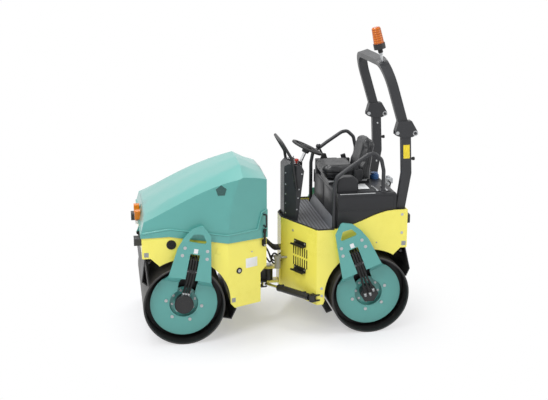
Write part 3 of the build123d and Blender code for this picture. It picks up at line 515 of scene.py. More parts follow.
tail_out = tail_ways(1)[0]
plug = rod((1.043, side_face, 1.017), 0.047, 0.007, (0.0, 1.0, 0.0), 48)
face_in(plug, [(0.008, -0.005), (0.012, 0.003), (0.006, -0.004)])
grip = slab((1.043, 0.6335, 1.017), (0.05, 0.012, 0.008), (0.0, 1.0, 0.0), math.radians(25.0))
plug = joined(soften(plug, 0.0015), soften(grip, 0.003))
fit(plug, "hand_hole_plug", "front_frame", rubber)
lock_spot = (0.380, 0.5755, 0.698)
lock = rod(lock_spot, 0.031, 0.008, tail_out, 40)
face_in(lock, [(0.011, -0.005)])
fit(soften(lock, 0.0015), "side_lock", "front_frame", rubber)
barrel = rod(lock_spot, 0.017, 0.008, tail_out)
face_in(barrel, [(0.005, -0.001), (0.008, -0.002)])
fit(soften(barrel, 0.001), "lock_barrel", "front_frame", zinc)
plate = slab((0.246, 0.5131, 0.757), (0.136, 0.098, 0.0015), tail_out)
fit(soften(plate, 0.0006), "blank_plate", "front_frame", label_white)
tag_grey = painted("tag_grey", (0.30, 0.31, 0.31), 0.5, 300.0, 0.0002, mottle=0.25)


def tag(name, place, facing, body):
    """A small blank tag, flat on the paint."""
    fit(soften(slab(place, (0.044, 0.046, 0.0015), facing), 0.0006), name, body, tag_grey)


tag("front_tag", (1.284, 0.6283, 0.924), (0.0, 1.0, 0.0), "front_frame")
tag("low_tag", (0.440, 0.6048, 0.402), tail_out, "front_frame")
boss = slab((0.586, 0.629, 0.925), (0.05, 0.062, 0.006), (0.0, 1.0, 0.0), math.radians(-18.0))
fit(soften(boss, 0.002), "side_boss", "front_frame", yellow)
screw = copies(button_bolt(0.008), [((0.243, 0.5117, 0.868), tail_out)])
fit(screw, "tail_plug", "front_frame", zinc)

# Engine: one iron block that stands for engine, pumps and cooler under the hood.
# A pressed rocker cover closes its top.
iron = painted("engine_iron", (0.06, 0.06, 0.065), 0.55, 120.0, 0.002, mottle=0.2)
dress(iron, "engine")
cover = slab((0.60, 0.0, 1.384), (0.46, 0.16, 0.06))
face_in(cover, [(0.012, 0.0), (0.02, 0.012)])
fit(soften(cover, 0.008, 3), "rocker_cover", "front_frame", iron)


# Hood: one moulded shell in teal, hinged at its front edge and pulled up by a black bar at each rear corner.
# A raised bead runs above its skirt and rises round each bar, and a five-sided perforated vent sits in each
# flank, its holes painted near black as painted shade for the dark inside the hood. A rubber strap at each
# rear corner holds it down to the body.
def node_copy(name):
    """A welded copy of a CAD node, free of its body, to be worked into a finer piece."""
    take(nodes[name])
    bpy.ops.object.duplicate()
    piece = bpy.context.object
    piece.parent = None
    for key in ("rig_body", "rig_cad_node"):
        del piece[key]
    bpy.ops.object.mode_set(mode="EDIT")
    bpy.ops.mesh.select_all(action="SELECT")
    bpy.ops.mesh.remove_doubles(threshold=0.0001)
    bpy.ops.mesh.normals_make_consistent(inside=False)
    bpy.ops.object.mode_set(mode="OBJECT")
    return piece


skin = node_copy("hood")
bpy.ops.object.shade_smooth_by_angle(angle=math.radians(11.0))
even = skin.modifiers.new("even", "WEIGHTED_NORMAL")
even.keep_sharp = True
even.weight = 60
bpy.ops.object.modifier_apply(modifier=even.name)
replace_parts(fit(skin, "hood_skin", "hood", teal), "hood")
dress(teal, "hood")
bpy.context.view_layer.update()
low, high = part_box("hood")
lip = [(high[0] - 0.012, 1.140), (1.060, 1.178), (0.498, 1.089), (low[0] + 0.110, 1.092),
       (low[0] + 0.062, 1.262), (low[0] + 0.004, 1.280)]
bead_steps = 8
bead_radius = 0.010
beads = []
for side in (1, -1):
    route = []
    for (x, z), (next_x, next_z) in zip(lip, lip[1:]):
        for count in range(bead_steps):
            start = Vector((x + (next_x - x) * count / bead_steps, side,
                            z + (next_z - z) * count / bead_steps - 0.005))
            hit, spot, normal, _ = skin.ray_cast(start, Vector((0.0, -side, 0.0)))
            if hit:
                route.append(spot - normal * 0.001)
    beads.append(tube(route, bead_radius))
fit(joined(*beads), "hood_bead", "hood", teal)
# The vent screen: teal between the holes, and the holes painted near black, painted shade for the dark behind
# them.
vent_hole_shade_paint, net = blank("vent_mesh_hole_shade")
place = net.node("TexCoord", out=3)
spread = net.node("SeparateXYZ", None, {0: place})
holes = net.maths("SINE", spread * 520.0) * net.maths("SINE", spread.other("Z") * 520.0)
hole_shade_share = net.node("MapRange", None, {"Value": holes, "From Min": 0.0, "From Max": 0.35})
tone = tint(net, hole_shade_share, (0.035, 0.13, 0.118), (0.004, 0.010, 0.010))
relief = net.node("Bump", None, {"Height": 1.0 - hole_shade_share, "Strength": 0.6, "Distance": 0.002})
shade(net, Base_Color=tone, Roughness=0.4 + hole_shade_share * 0.3, Normal=relief)
dress(black, "hood_hinges", "hood_handles")
dress(rubber, "latches")
slope = math.radians(6.2)
vents = []
shade_screens = []
for side in (1, -1):
    out = Vector((0.0, side * math.cos(slope), math.sin(slope)))
    middle = Vector((0.548, side * 0.5903, 1.521))
    surround = rod(middle - out * 0.003, 0.062, 0.006, out, 5)
    face_in(surround, [(0.005, -0.003)])
    vents.append(soften(surround, 0.001))
    screen = rod(middle - out * 0.003, 0.057, 0.0042, out, 5)
    shade_screens.append(soften(face_in(screen, [(0.004, -0.0008)]), 0.0004, 1))
fit(joined(*vents), "hood_vents", "hood", teal)
fit(joined(*shade_screens), "hood_vent_screens", "hood", vent_hole_shade_paint)
straps = []
hooks = []
keepers = []
for side in (1, -1):
    out, run = tail_ways(side)
    foot = Vector((0.084, side * 0.436, 0.0)) + run * 0.04
    for group, reach, height, size in ((straps, 0.029, 1.005, (0.026, 0.15, 0.007)),
                                       (straps, 0.031, 1.072, (0.034, 0.03, 0.014)),
                                       (hooks, 0.019, 1.058, (0.030, 0.022, 0.012)),
                                       (keepers, 0.030, 0.918, (0.02, 0.014, 0.012))):
        group.append(slab(foot + out * reach + Vector((0.0, 0.0, height)), size, out))
fit(soften(joined(*straps), 0.003), "latch_straps", "front_frame", rubber)
fit(soften(joined(*hooks), 0.003), "latch_hooks", "hood", black)
fit(soften(joined(*keepers), 0.003), "latch_keepers", "front_frame", zinc)


# Lamps at the front: amber flashers over clear side lamps on the hood, and work lamps in black housings on
# the body. Each lens is moulded in plastic, with a fine pattern of ribs or facets that spreads the light.
def lens(name, colour, pitch, along, **fixed):
    """A moulded lens: ribs across one axis and a slight depth of tone."""
    made, net = blank(name)
    place = net.node("TexCoord", out=3)
    axes = net.node("SeparateXYZ", None, {0: place}, out=along)
    rib = net.maths("SINE", axes * (2.0 * math.pi / pitch))
    cloud = net.node("TexNoise", None, {"Vector": place, "Scale": 14.0, "Detail": 3.0})
    low = [channel * 0.82 for channel in colour]
    relief = net.node("Bump", None, {"Height": rib, "Strength": 0.5, "Distance": 0.001})
    gloss = net.node("MapRange", None, {"Value": cloud, "To Min": 0.08, "To Max": 0.22})
    tone = tint(net, rib * 0.25 + cloud * 0.75, low, colour)
    shade(net, Base_Color=tone, Roughness=gloss, Normal=relief, **fixed)
    return made


def lens_area(net, spread, middle, half, pitch):
    """Where the lenses of a pair of lamps lie, seen along the machine, and the facets moulded in them."""
    sideways = net.maths("ABSOLUTE", net.maths("ABSOLUTE", spread.other("Y")) - middle[0])
    upright = net.maths("ABSOLUTE", spread.other("Z") - middle[1])
    facet = net.maths("SINE", spread.other("Y") * pitch) * net.maths("SINE", spread.other("Z") * pitch)
    return (sideways < half[0]) * (upright < half[1]), facet


amber = lens("amber_lens", (0.95, 0.27, 0.012), 0.009, 1, Transmission_Weight=0.15, IOR=1.46)
clear = lens("clear_lens", (0.80, 0.80, 0.76), 0.007, 1, IOR=1.46)
dress(amber, "flashers")
side_lamps = [slab((1.352, side * 0.12, 1.119), (0.07, 0.036, 0.03), (1.0, 0.0, 0.0)) for side in (1, -1)]
fit(soften(joined(*side_lamps), 0.006, 3), "side_lamps", "hood", clear)
housing, net = blank("lamp_housing")
place = net.node("TexCoord", out=3)
spread = net.node("SeparateXYZ", None, {0: place})
area, facet = lens_area(net, spread, (0.45, 1.02), (0.046, 0.032), 900.0)
glass = (spread > 1.3945) * area
grain = net.node("TexNoise", None, {"Vector": place, "Scale": 400.0, "Detail": 3.0})
shell = tint(net, grain, (0.025, 0.025, 0.027), (0.04, 0.04, 0.043))
front = tint(net, facet, (0.55, 0.57, 0.60), (0.86, 0.87, 0.88))
tone = net.node("Mix", {"data_type": "RGBA"}, {0: glass, 6: shell, 7: front}, out=2)
relief = net.node("Bump", None, {"Height": facet * glass + grain * 0.3, "Strength": 0.4, "Distance": 0.001})
shade(net, Base_Color=tone, Roughness=0.5 - glass * 0.4, Normal=relief)
dress(housing, "front_lamps")

# Rear body: welded steel box with a wedge nose, in the same yellow gloss paint.
# Black rubber channel covers the platform's rim, and plated bolts hold the sides. Black blocks fill the nose
# grille's slots with a black sheet behind them: painted shade for the dark seen through the slots.
dress(yellow, "rear_chassis", "rear_link")
edges = []
for side in (1, -1):
    rim = [(-0.127, 0.0), (-0.127, 0.09), (-0.129, 0.10), (-0.26, 0.357), (-0.388, 0.607), (-0.392, 0.622),
           (-0.42, 0.622), (-0.50, 0.622), (-0.565, 0.622)]
    edges.append(tube([(x, side * y, 1.091) for x, y in rim], 0.0085))
fit(joined(*edges), "rim_edging", "rear_frame", rubber)


def nose_ways(side):
    """The ways out of the nose's face and along it, on one side."""
    return Vector((0.890, side * 0.455, 0.0)), Vector((-0.455, side * 0.890, 0.0))


def nose_spot(side, reach, height):
    """A point on the nose's face, reach along it from its middle line."""
    return Vector((-0.255, side * 0.364, height)) + nose_ways(side)[1] * reach


# The nose grille's slots: a black block in each slot and a black sheet behind them, painted shade for the
# dark inside.
slot_shade_pitch = 0.036
shade_screens = []
slot_shade_spots = []
bolt_spots = []
for side in (1, -1):
    out, run = nose_ways(side)
    middle = nose_spot(side, 0.03, 0.742)
    shade_screens.append(slab(middle - out * 0.014, (0.29, 0.25, 0.004), out))
    for count in range(7):
        for rise in (-0.0575, 0.0575):
            spot = middle + run * slot_shade_pitch * (count - 3) + Vector((0.0, 0.0, rise))
            slot_shade_spots.append((spot - out * 0.0035, out))
    bolt_spots += [((-0.2135, side * 0.283, 0.997), out), ((-0.371, side * 0.5908, 0.364), out)]
    for x, z in ((-1.253, 1.213), (-1.255, 1.024), (-0.444, 0.478), (-0.445, 0.400)):
        bolt_spots.append(((x, side * side_face, z), (0.0, side, 0.0)))
fit(soften(joined(*shade_screens), 0.001), "grille_shade_backing", "rear_frame", black)
slot_shade_block = soften(face_in(slab((0.0, 0.0, 0.0), (0.0165, 0.093, 0.006)), [(0.002, -0.001)]), 0.0006)
fit(copies(slot_shade_block, slot_shade_spots), "grille_slot_shade", "rear_frame", black)
fit(copies(flange_bolt(0.014), bolt_spots), "body_bolts", "rear_frame", zinc)
tag("rear_tag", (-1.277, 0.6283, 0.913), (0.0, 1.0, 0.0), "rear_frame")
plug_spots = [((-0.997, side * side_face, 0.934), (0.0, side, 0.0)) for side in (1, -1)]
fit(copies(button_bolt(0.007), plug_spots), "side_plugs", "rear_frame", tag_grey)

# Boarding steps: two on each side of the nose, folded from toothed steel plate and painted black.
# A flange bolt at each end holds a step to the nose.
dress(black, "steps")
step_bolts = []
for side in (1, -1):
    out = nose_ways(side)[0]
    for z in (0.898, 0.623):
        for reach in (-0.05, 0.11):
            step_bolts.append((nose_spot(side, reach, z) + out * 0.006, out))
fit(copies(flange_bolt(0.010), step_bolts), "step_bolts", "rear_frame", zinc)

# Floor mat: one sheet of moulded black rubber on the platform, with ribs across it in a lighter grey than the
# sheet.
# A sloping kick strip of the same rubber closes the corner up to the tank.
mat = painted("mat_rubber", (0.050, 0.052, 0.058), 0.55, 240.0, 0.0008, mottle=0.15)
# The ribs and the kick strip take a lighter grey than the mat.
mat_lighter = painted("mat_lighter", (0.115, 0.119, 0.132), 0.5, 240.0, 0.0008, mottle=0.2)
dress(mat, "floor_mat")
ribs = []
rib_pitch = 0.0345
for count in range(12):
    x = -0.152 - rib_pitch * count
    half = min(0.600, 0.06 + (-0.120 - x) * 1.955)
    near = 0.212 if x > -0.290 else 0.0
    if half > near + 0.03:
        for side in (1, -1):
            ribs.append(slab((x, side * (half + near) / 2, 1.0705), (0.019, half - near, 0.007)))
fit(soften(joined(*ribs), 0.002, 1), "mat_ribs", "rear_frame", mat_lighter)
kick = slab((-0.5725, 0.0, 1.1), (0.012, 1.06, 0.116))
kick.rotation_euler = (0.0, math.radians(-24.0), 0.0)
fit(soften(kick, 0.003), "kick_strip", "rear_frame", mat_lighter)

# Tank: moulded water and fuel tank under the seat, dark grained plastic.
# Flush doors close its front, a pressed panel its flanks, and a lid with two stays its top.
plastic = painted("dark_plastic", (0.021, 0.0215, 0.024), 0.42, 320.0, 0.0008, mottle=0.15,
                  Specular_IOR_Level=0.35)
dress(plastic, "tank")
panels = []
for side in (1, -1):
    panel = slab((-0.888, side * 0.6105, 1.338), (0.555, 0.140, 0.006), (0.0, side, 0.0))
    panels.append(soften(face_in(panel, [(0.010, 0.002)]), 0.003))
    door = slab((-0.5995, side * 0.235, 1.275), (0.40, 0.25, 0.006), (1.0, 0.0, 0.0))
    panels.append(soften(face_in(door, [(0.012, 0.002)]), 0.003))
lid_height = 1.4375
lid = slab((-0.905, 0.3725, lid_height), (0.50, 0.365, 0.006))
panels.append(soften(face_in(lid, [(0.012, 0.002)]), 0.003))
fit(joined(*panels), "tank_panels", "rear_frame", plastic)
# A plated strip on the lid's near edge stands in for the bright line along the tank's top: a painted
# highlight.
highlight_strip = slab((-0.80, 0.6045, lid_height), (0.36, 0.012, 0.007))
fit(soften(highlight_strip, 0.002), "lid_highlight_strip", "rear_frame", zinc)
stays = []
for x in (-1.005, -1.10):
    stays.append(soften(rod((x, 0.39, 1.449), 0.008, 0.16, (-0.06, 1.0, 0.0), 20), 0.002))
    stays.append(soften(slab((x, 0.385, 1.447), (0.022, 0.02, 0.014)), 0.003))
    stays.append(soften(slab((x - 0.009, 0.55, 1.447), (0.022, 0.02, 0.014)), 0.003))
fit(joined(*stays), "lid_stays", "rear_frame", zinc)
plate = slab((-0.905, 0.345, 1.4430), (0.115, 0.20, 0.0012))
fit(soften(plate, 0.0005), "lid_plate", "rear_frame", label_white)

# Filler cap and fuel filter on the tank: the cap screws down, moulded in blue plastic with finger ribs.
# The filter is a cast alloy housing under four bolts, and two rubber lines lead from it into the tank.
cap_blue = lens("cap_blue", (0.07, 0.20, 0.50), 0.012, 0)
dress(cap_blue, "tank_cap")
knurl = slab((0.0, 0.0, 0.0), (0.006, 0.028, 0.005))
spots = []
rib_count = 18
for count in range(rib_count):
    turn = 2.0 * math.pi * count / rib_count
    out = Vector((math.cos(turn), math.sin(turn), 0.0))
    spots.append((Vector((-1.13, 0.0, 1.456)) + out * 0.046, out))
fit(copies(soften(knurl, 0.002), spots), "cap_ribs", "rear_frame", cap_blue)
alloy = painted("cast_alloy", (0.52, 0.54, 0.56), 0.42, 160.0, 0.001, mottle=0.12, Metallic=0.55)
dress(alloy, "fuel_filter")
feed = [(-1.243, 0.15, 1.436), (-1.243, 0.20, 1.440), (-1.24, 0.24, 1.43), (-1.21, 0.25, 1.39),
        (-1.19, 0.25, 1.37)]
spill = [(-1.243, 0.07, 1.436), (-1.243, 0.03, 1.440), (-1.24, -0.02, 1.42), (-1.21, -0.03, 1.37),
         (-1.19, -0.03, 1.35)]
fuel_radius = 0.008
fit(joined(tube(feed, fuel_radius), tube(spill, fuel_radius)), "fuel_lines", "rear_frame", rubber)
spots = [((x, y, 1.461), (0.0, 0.0, 1.0)) for x in (-1.275, -1.211) for y in (0.08, 0.14)]
fit(copies(flange_bolt(0.010), spots), "filter_bolts", "rear_frame", zinc)

# Seat: foam pads under black grained vinyl on a low sprung base, sewn with one line round each face.
# The pads are swelled as cloth over foam, and the seams are drawn in afterwards.
anthracite = painted("anthracite_paint", (0.031, 0.032, 0.035), 0.4, 600.0, 0.0004, mottle=0.12,
                     Specular_IOR_Level=0.4)
dress(anthracite, "seat_base")
vinyl, net = blank("seat_vinyl")
place = net.node("TexCoord", out=3)
leather = net.node("TexVoronoi", {"feature": "DISTANCE_TO_EDGE"}, {"Vector": place, "Scale": 420.0})
cloud = net.node("TexNoise", None, {"Vector": place, "Scale": 9.0, "Detail": 5.0})
relief = net.node("Bump", None, {"Height": leather, "Strength": 0.3, "Distance": 0.0012})
gloss = net.node("MapRange", None, {"Value": cloud, "From Min": 0.3, "From Max": 0.7, "To Min": 0.27,
                                    "To Max": 0.42})
tone = tint(net, cloud, (0.010, 0.0105, 0.012), (0.020, 0.021, 0.023))
shade(net, Base_Color=tone, Roughness=gloss, Normal=relief, Specular_IOR_Level=0.4)


def pad(node, cap, low, high):
    """A copy of a seat solid, drawn in, swelled as cloth within cap of its start and between two corners."""
    piece = node_copy(node)
    piece.data.remesh_voxel_size = 0.006
    bpy.ops.object.voxel_remesh()
    bpy.ops.object.mode_set(mode="EDIT")
    bpy.ops.mesh.select_all(action="SELECT")
    bpy.ops.transform.shrink_fatten(value=-0.010)
    bpy.ops.object.mode_set(mode="OBJECT")
    start = [point.co.copy() for point in piece.data.vertices]
    foam = piece.modifiers.new("foam", "CLOTH")
    foam.settings.use_pressure = True
    foam.settings.uniform_pressure_force = 4.0
    foam.settings.effector_weights.gravity = 0.0
    for step in range(1, 21):
        scene.frame_set(step)
    bpy.ops.object.modifier_apply(modifier=foam.name)
    scene.frame_set(1)
    for point, origin in zip(piece.data.vertices, start):
        move = point.co - origin
        if move.length > cap:
            point.co = origin + move * (cap / move.length)
        point.co = Vector([min(max(value, least), most) for value, least, most in zip(point.co, low, high)])
    even = piece.modifiers.new("even", "SMOOTH")
    even.factor = 0.6
    even.iterations = 32
    bpy.ops.object.modifier_apply(modifier=even.name)
    return piece


def hollow(piece, middle, base, top, draw):
    """Draw a cushion in towards its base, so that it swells out and up from its pan like a bowl."""
    for point in piece.data.vertices:
        drop = max((top - point.co.z) / (top - base), 0.0)
        keep = 1.0 - draw * drop ** 1.6
        point.co.x = middle.x + (point.co.x - middle.x) * keep
        point.co.y = middle.y + (point.co.y - middle.y) * keep
    return piece


def sew(piece, line, depth, width):
    """Draw a pad in along a seam: line gives each point's distance from it, or None where it has none."""
    take(piece)
    normals = [point.normal.copy() for point in piece.data.vertices]
    for point, normal in zip(piece.data.vertices, normals):
        gap = line(point.co, normal)
        if gap is not None:
            point.co -= normal * depth * math.exp(-(gap / width) ** 2)
    finer = piece.modifiers.new("finer", "SUBSURF")
    finer.levels = 1
    finer.render_levels = 1
    bpy.ops.object.modifier_apply(modifier=finer.name)
    bpy.ops.object.shade_smooth()
    return piece


def ring_gap(x, y, half_x, half_y, corner):
    """How far a point lies from a rounded rectangle's line."""
    dx = abs(x) - half_x + corner
    dy = abs(y) - half_y + corner
    return abs(math.hypot(max(dx, 0.0), max(dy, 0.0)) + min(max(dx, dy), 0.0) - corner)


def cushion_seam(spot, normal):
    """The seams of the cushion: a ring on its top, and a line round its boxing."""
    if normal.z > 0.5:
        return ring_gap(spot.x + 0.712, spot.y, 0.140, 0.165, 0.06)
    return abs(spot.z - 1.560) if abs(normal.z) < 0.7 else None


def back_seam(spot, normal):
    """The seams of the seat back: a ring on its face, and a line round its side."""
    if normal.x > 0.5:
        return ring_gap(spot.z - 1.690, spot.y, 0.165, 0.150, 0.07)
    return abs(spot.x + 0.985 + 0.23 * (spot.z - 1.60)) if abs(normal.x) < 0.7 else None


pads = (("seat_cushion", cushion_seam, (-0.9055, -0.248, 1.4785), (-0.513, 0.248, 1.636)),
        ("seat_back", back_seam, (-1.093, -0.243, 1.4785), (-0.9075, 0.243, 1.914)))
swell_cap = 0.012
seam_depth = 0.007
seam_width = 0.008
for node, seam, low, high in pads:
    swelled = sew(pad(node, swell_cap, low, high), seam, seam_depth, seam_width)
    if node == "seat_cushion":
        hollow(swelled, Vector((-0.78, 0.0, 0.0)), 1.478, 1.60, 0.20)
    piece = fit(swelled, node + "_pad", "rear_frame", vinyl)
    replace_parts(piece, node)
slides = [soften(slab((-0.80, side * 0.186, 1.466), (0.40, 0.012, 0.018)), 0.003) for side in (1, -1)]
fit(joined(*slides), "seat_slides", "rear_frame", zinc)
belts = []
for side in (1, -1):
    belts.append(soften(slab((-0.885, side * 0.272, 1.545), (0.085, 0.042, 0.12)), 0.010, 3))
    buckle = slab((-0.860, side * 0.272, 1.615), (0.022, 0.052, 0.065), (0.3, 0.0, 1.0))
    belts.append(soften(buckle, 0.006, 3))
    belts.append(soften(slab((-0.885, side * 0.225, 1.484), (0.05, 0.10, 0.012)), 0.003))
fit(joined(*belts), "belt_reels", "rear_frame", plastic)

# Travel lever: a moulded box beside the seat, a bellows boot and a cranked stick with a round knob.
# The guard on the other side is a moulded cover over the tank's valves.
dress(plastic, "lever_box", "side_guard")
folds = []
for count in range(5):
    ring = rod((-0.660, -0.330, 1.588 + 0.0115 * count), 0.040 - 0.004 * count, 0.010)
    folds.append(soften(ring, 0.0045, 3))
fit(joined(*folds), "lever_boot", "rear_frame", rubber)
button = rod((-0.600, -0.330, 1.7505), 0.011, 0.0035)
fit(soften(face_in(button, [(0.003, 0.0)]), 0.001), "lever_button", "rear_frame", label_white)

# Handrails: bent steel tube in anthracite paint, one on each side of the seat.
# Each end is welded to a foot plate, which one bolt holds down at the floor and on the tank.
dress(anthracite, "handrail_left", "handrail_right")
feet = []
spots = []
for side in (1, -1):
    for x, z in ((-0.571, 1.047), (-1.065, 1.436)):
        feet.append(soften(slab((x, side * 0.560, z + 0.004), (0.052, 0.088, 0.008)), 0.002))
        feet.append(soften(rod((x, side * 0.575, z), 0.024, 0.016), 0.004, 3))
        spots.append(((x, side * 0.532, z + 0.008), (0.0, 0.0, 1.0)))
fit(joined(*feet), "rail_feet", "rear_frame", anthracite)
fit(copies(flange_bolt(0.011), spots), "rail_bolts", "rear_frame", zinc)

# Steering console: a folded sheet housing in dark paint, screwed along its edges, with gauges and switches on
# top. A bent grab handle stands up both sides, and the bare column leads to the wheel.
dress(anthracite, "console")
dress(black, "console_handle")
screw_spots = []
for side in (1, -1):
    for z in (1.14, 1.24, 1.34, 1.44, 1.56):
        screw_spots.append(((-0.166, side * 0.1215, z), (0.633, side * 0.774, 0.0)))
    for x, z in ((-0.268, 1.19), (-0.280, 1.31), (-0.290, 1.40), (-0.318, 1.56)):
        screw_spots.append(((x, side * 0.200, z), (0.0, side, 0.0)))
fit(copies(button_bolt(0.0075), screw_spots), "console_screws", "rear_frame", zinc)
dash_up = Vector((-0.12, 0.0, 1.0)).normalized()
gauges = []
faces = []
for y, size in ((0.115, 0.034), (-0.115, 0.034), (-0.05, 0.016)):
    spot = Vector((-0.245, y, 1.6475))
    gauges.append(soften(face_in(rod(spot, size, 0.012, dash_up), [(0.005, -0.006)]), 0.0015))
    faces.append(soften(face_in(rod(spot, size - 0.005, 0.0075, dash_up), [(0.004, -0.0005)]), 0.0004, 1))
for y in (0.165, 0.125, -0.165):
    gauges.append(soften(rod((-0.292, y, 1.641), 0.012, 0.010, dash_up), 0.002))
    gauges.append(soften(rod((-0.292, y, 1.648), 0.004, 0.022, (-0.5, 0.0, 1.0), 16), 0.0015))
fit(joined(*gauges), "dash_switches", "rear_frame", plastic)
fit(joined(*faces), "gauge_faces", "rear_frame", label_white)
knob_red = painted("knob_red", (0.55, 0.035, 0.02), 0.3, 200.0, 0.0004)
knob_foot = Vector((-0.285, 0.065, 1.640))
stem = rod(knob_foot, 0.010, 0.032, dash_up, 24)
button = rod(knob_foot + dash_up * 0.028, 0.021, 0.018, dash_up)
face_in(button, [(0.004, 0.003), (0.006, -0.0015)])
fit(soften(joined(stem, button), 0.003, 3), "stop_knob", "rear_frame", knob_red)
chrome = painted("chrome", (0.74, 0.75, 0.76), 0.2, 300.0, 0.0002, Metallic=1.0)
dress(chrome, "steering_column")
wheel_tilt = math.radians(25.6)
wheel_up = Vector((-math.sin(wheel_tilt), 0.0, math.cos(wheel_tilt)))
wheel_centre = Vector((-0.411, 0.0, 1.788))
boot = []
for count in range(4):
    spot = wheel_centre - wheel_up * (0.206 - 0.012 * count)
    boot.append(soften(rod(spot, 0.040 - 0.005 * count, 0.011, wheel_up), 0.0045, 3))
fit(joined(*boot), "column_boot", "rear_frame", rubber)

# Steering wheel: a steel ring on three spokes, with a soft black rim moulded over it.
# A plastic cap snaps into the hub.
rim_soft = painted("wheel_rim", (0.017, 0.017, 0.018), 0.5, 520.0, 0.0008, mottle=0.15)
dress(rim_soft, "steering_wheel")
button = rod(wheel_centre + wheel_up * 0.0155, 0.036, 0.005, wheel_up, 40)
face_in(button, [(0.004, 0.002), (0.006, -0.001), (0.012, 0.001)])
fit(soften(button, 0.001), "wheel_cap", "steering_wheel", plastic)

# Roll bar: welded box posts on the deck, and a bent hoop that folds back on pins in its shoes.
# Pins and bolts are zinc plated, the pegs for the folded hoop have rubber caps, and a blank patch marks the
# near post.
dress(anthracite, "rops_posts", "rops_hoop")
washers = []
lock_spots = []
for side in (1, -1):
    for y, way in ((0.506, -side), (0.592, side)):
        ring = rod((-1.37, side * y, 2.022), 0.026, 0.004, (0.0, way, 0.0))
        washers.append(soften(face_in(ring, [(0.006, -0.001)]), 0.001))
        lock_spots.append(((-1.190, side * y, 2.028), (0.0, way, 0.0)))
fit(joined(*washers), "fold_washers", "rops_hoop", zinc)
fit(copies(flange_bolt(0.018), lock_spots), "shoe_bolts", "rops_hoop", zinc)
post_spots = [((-1.292, side * 0.519, z), (0.0, -side, 0.0)) for side in (1, -1) for z in (1.50, 1.92)]
fit(copies(button_bolt(0.010), post_spots), "post_bolts", "rear_frame", zinc)
caps = []
for side in (1, -1):
    cap = rod((-1.360, side * 0.549, 1.76), 0.0175, 0.024, (-1.0, 0.0, 0.0), 28)
    caps.append(soften(cap, 0.005, 3))
fit(joined(*caps), "peg_caps", "rear_frame", rubber)
patch_yellow = painted("patch_yellow", (0.85, 0.66, 0.03), 0.35, 240.0, 0.0002)
patch = slab((-1.2905, 0.5794, 1.838), (0.064, 0.136, 0.0012), (0.0, 1.0, 0.0), math.radians(2.7))
fit(soften(patch, 0.0005), "post_patch", "rear_frame", patch_yellow)

# Beacon: a banded amber dome in a black cup, on a plated stem with a rubber neck.
# The stem plugs onto the hoop's left shoulder, and the beacon folds down with the hoop.
dress(black, "beacon_base")
dome, net = blank("beacon_amber")
place = net.node("TexCoord", out=3)
centred = net.node("VectorMath", {"operation": "SUBTRACT"}, {0: place, 1: (-1.0125, 0.4, 2.9588)})
axes = net.node("SeparateXYZ", None, {0: centred})
rise = axes * 0.225 + axes.other("Z") * 0.974
band = net.maths("SINE", rise * 290.0)
cloud = net.node("TexNoise", None, {"Vector": place, "Scale": 18.0, "Detail": 4.0})
relief = net.node("Bump", None, {"Height": band, "Strength": 0.5, "Distance": 0.002})
tone = tint(net, band * 0.3 + cloud * 0.4 + 0.3, (0.42, 0.06, 0.003), (0.86, 0.235, 0.012))
gloss = net.node("MapRange", None, {"Value": cloud, "To Min": 0.08, "To Max": 0.24})
shade(net, Base_Color=tone, Roughness=gloss, Normal=relief, Transmission_Weight=0.15, IOR=1.46)
dress(dome, "beacon_lens")
beacon_tilt = math.radians(13.0)
beacon_up = Vector((math.sin(beacon_tilt), 0.0, math.cos(beacon_tilt)))
beacon_foot = Vector((-1.0309, 0.4, 2.8789))
collar = rod(beacon_foot - beacon_up * 0.004, 0.0575, 0.010, beacon_up, 40)
face_in(collar, [(0.006, -0.003)])
fit(soften(collar, 0.002), "beacon_collar", "rops_hoop", rubber)
sleeve = rod(beacon_foot - beacon_up * 0.180, 0.0135, 0.105, beacon_up, 28)
ball = rod(beacon_foot - beacon_up * 0.112, 0.020, 0.022, beacon_up, 28)
face_in(sleeve, [(0.002, 0.0)])
fit(joined(soften(sleeve, 0.001), soften(ball, 0.009, 4)), "beacon_stem", "rops_hoop", zinc)
cone = rod(beacon_foot - beacon_up * 0.088, 0.024, 0.040, beacon_up, 28)
face_in(cone, [(0.002, 0.0)])
fit(soften(cone, 0.006, 3), "beacon_neck", "rops_hoop", rubber)

# Rear lamps: a moulded red lens in a black plastic surround, at each rear corner.
# Each is one block on the body's rear face, with the lens flush in its surround.
rear_look, net = blank("rear_lamp")
spread = net.node("SeparateXYZ", None, {0: net.node("TexCoord", out=3)})
area, facet = lens_area(net, spread, (0.52, 1.15), (0.058, 0.038), 700.0)
glass = (spread < -1.322) * area
lit = tint(net, facet, (0.40, 0.012, 0.01), (0.62, 0.03, 0.02))
tone = net.node("Mix", {"data_type": "RGBA"}, {0: glass, 6: (0.022, 0.022, 0.023, 1.0), 7: lit}, out=2)
relief = net.node("Bump", None, {"Height": facet * glass, "Strength": 0.4, "Distance": 0.001})
shade(net, Base_Color=tone, Roughness=0.5 - glass * 0.38, Normal=relief)
dress(rear_look, "rear_lamps")

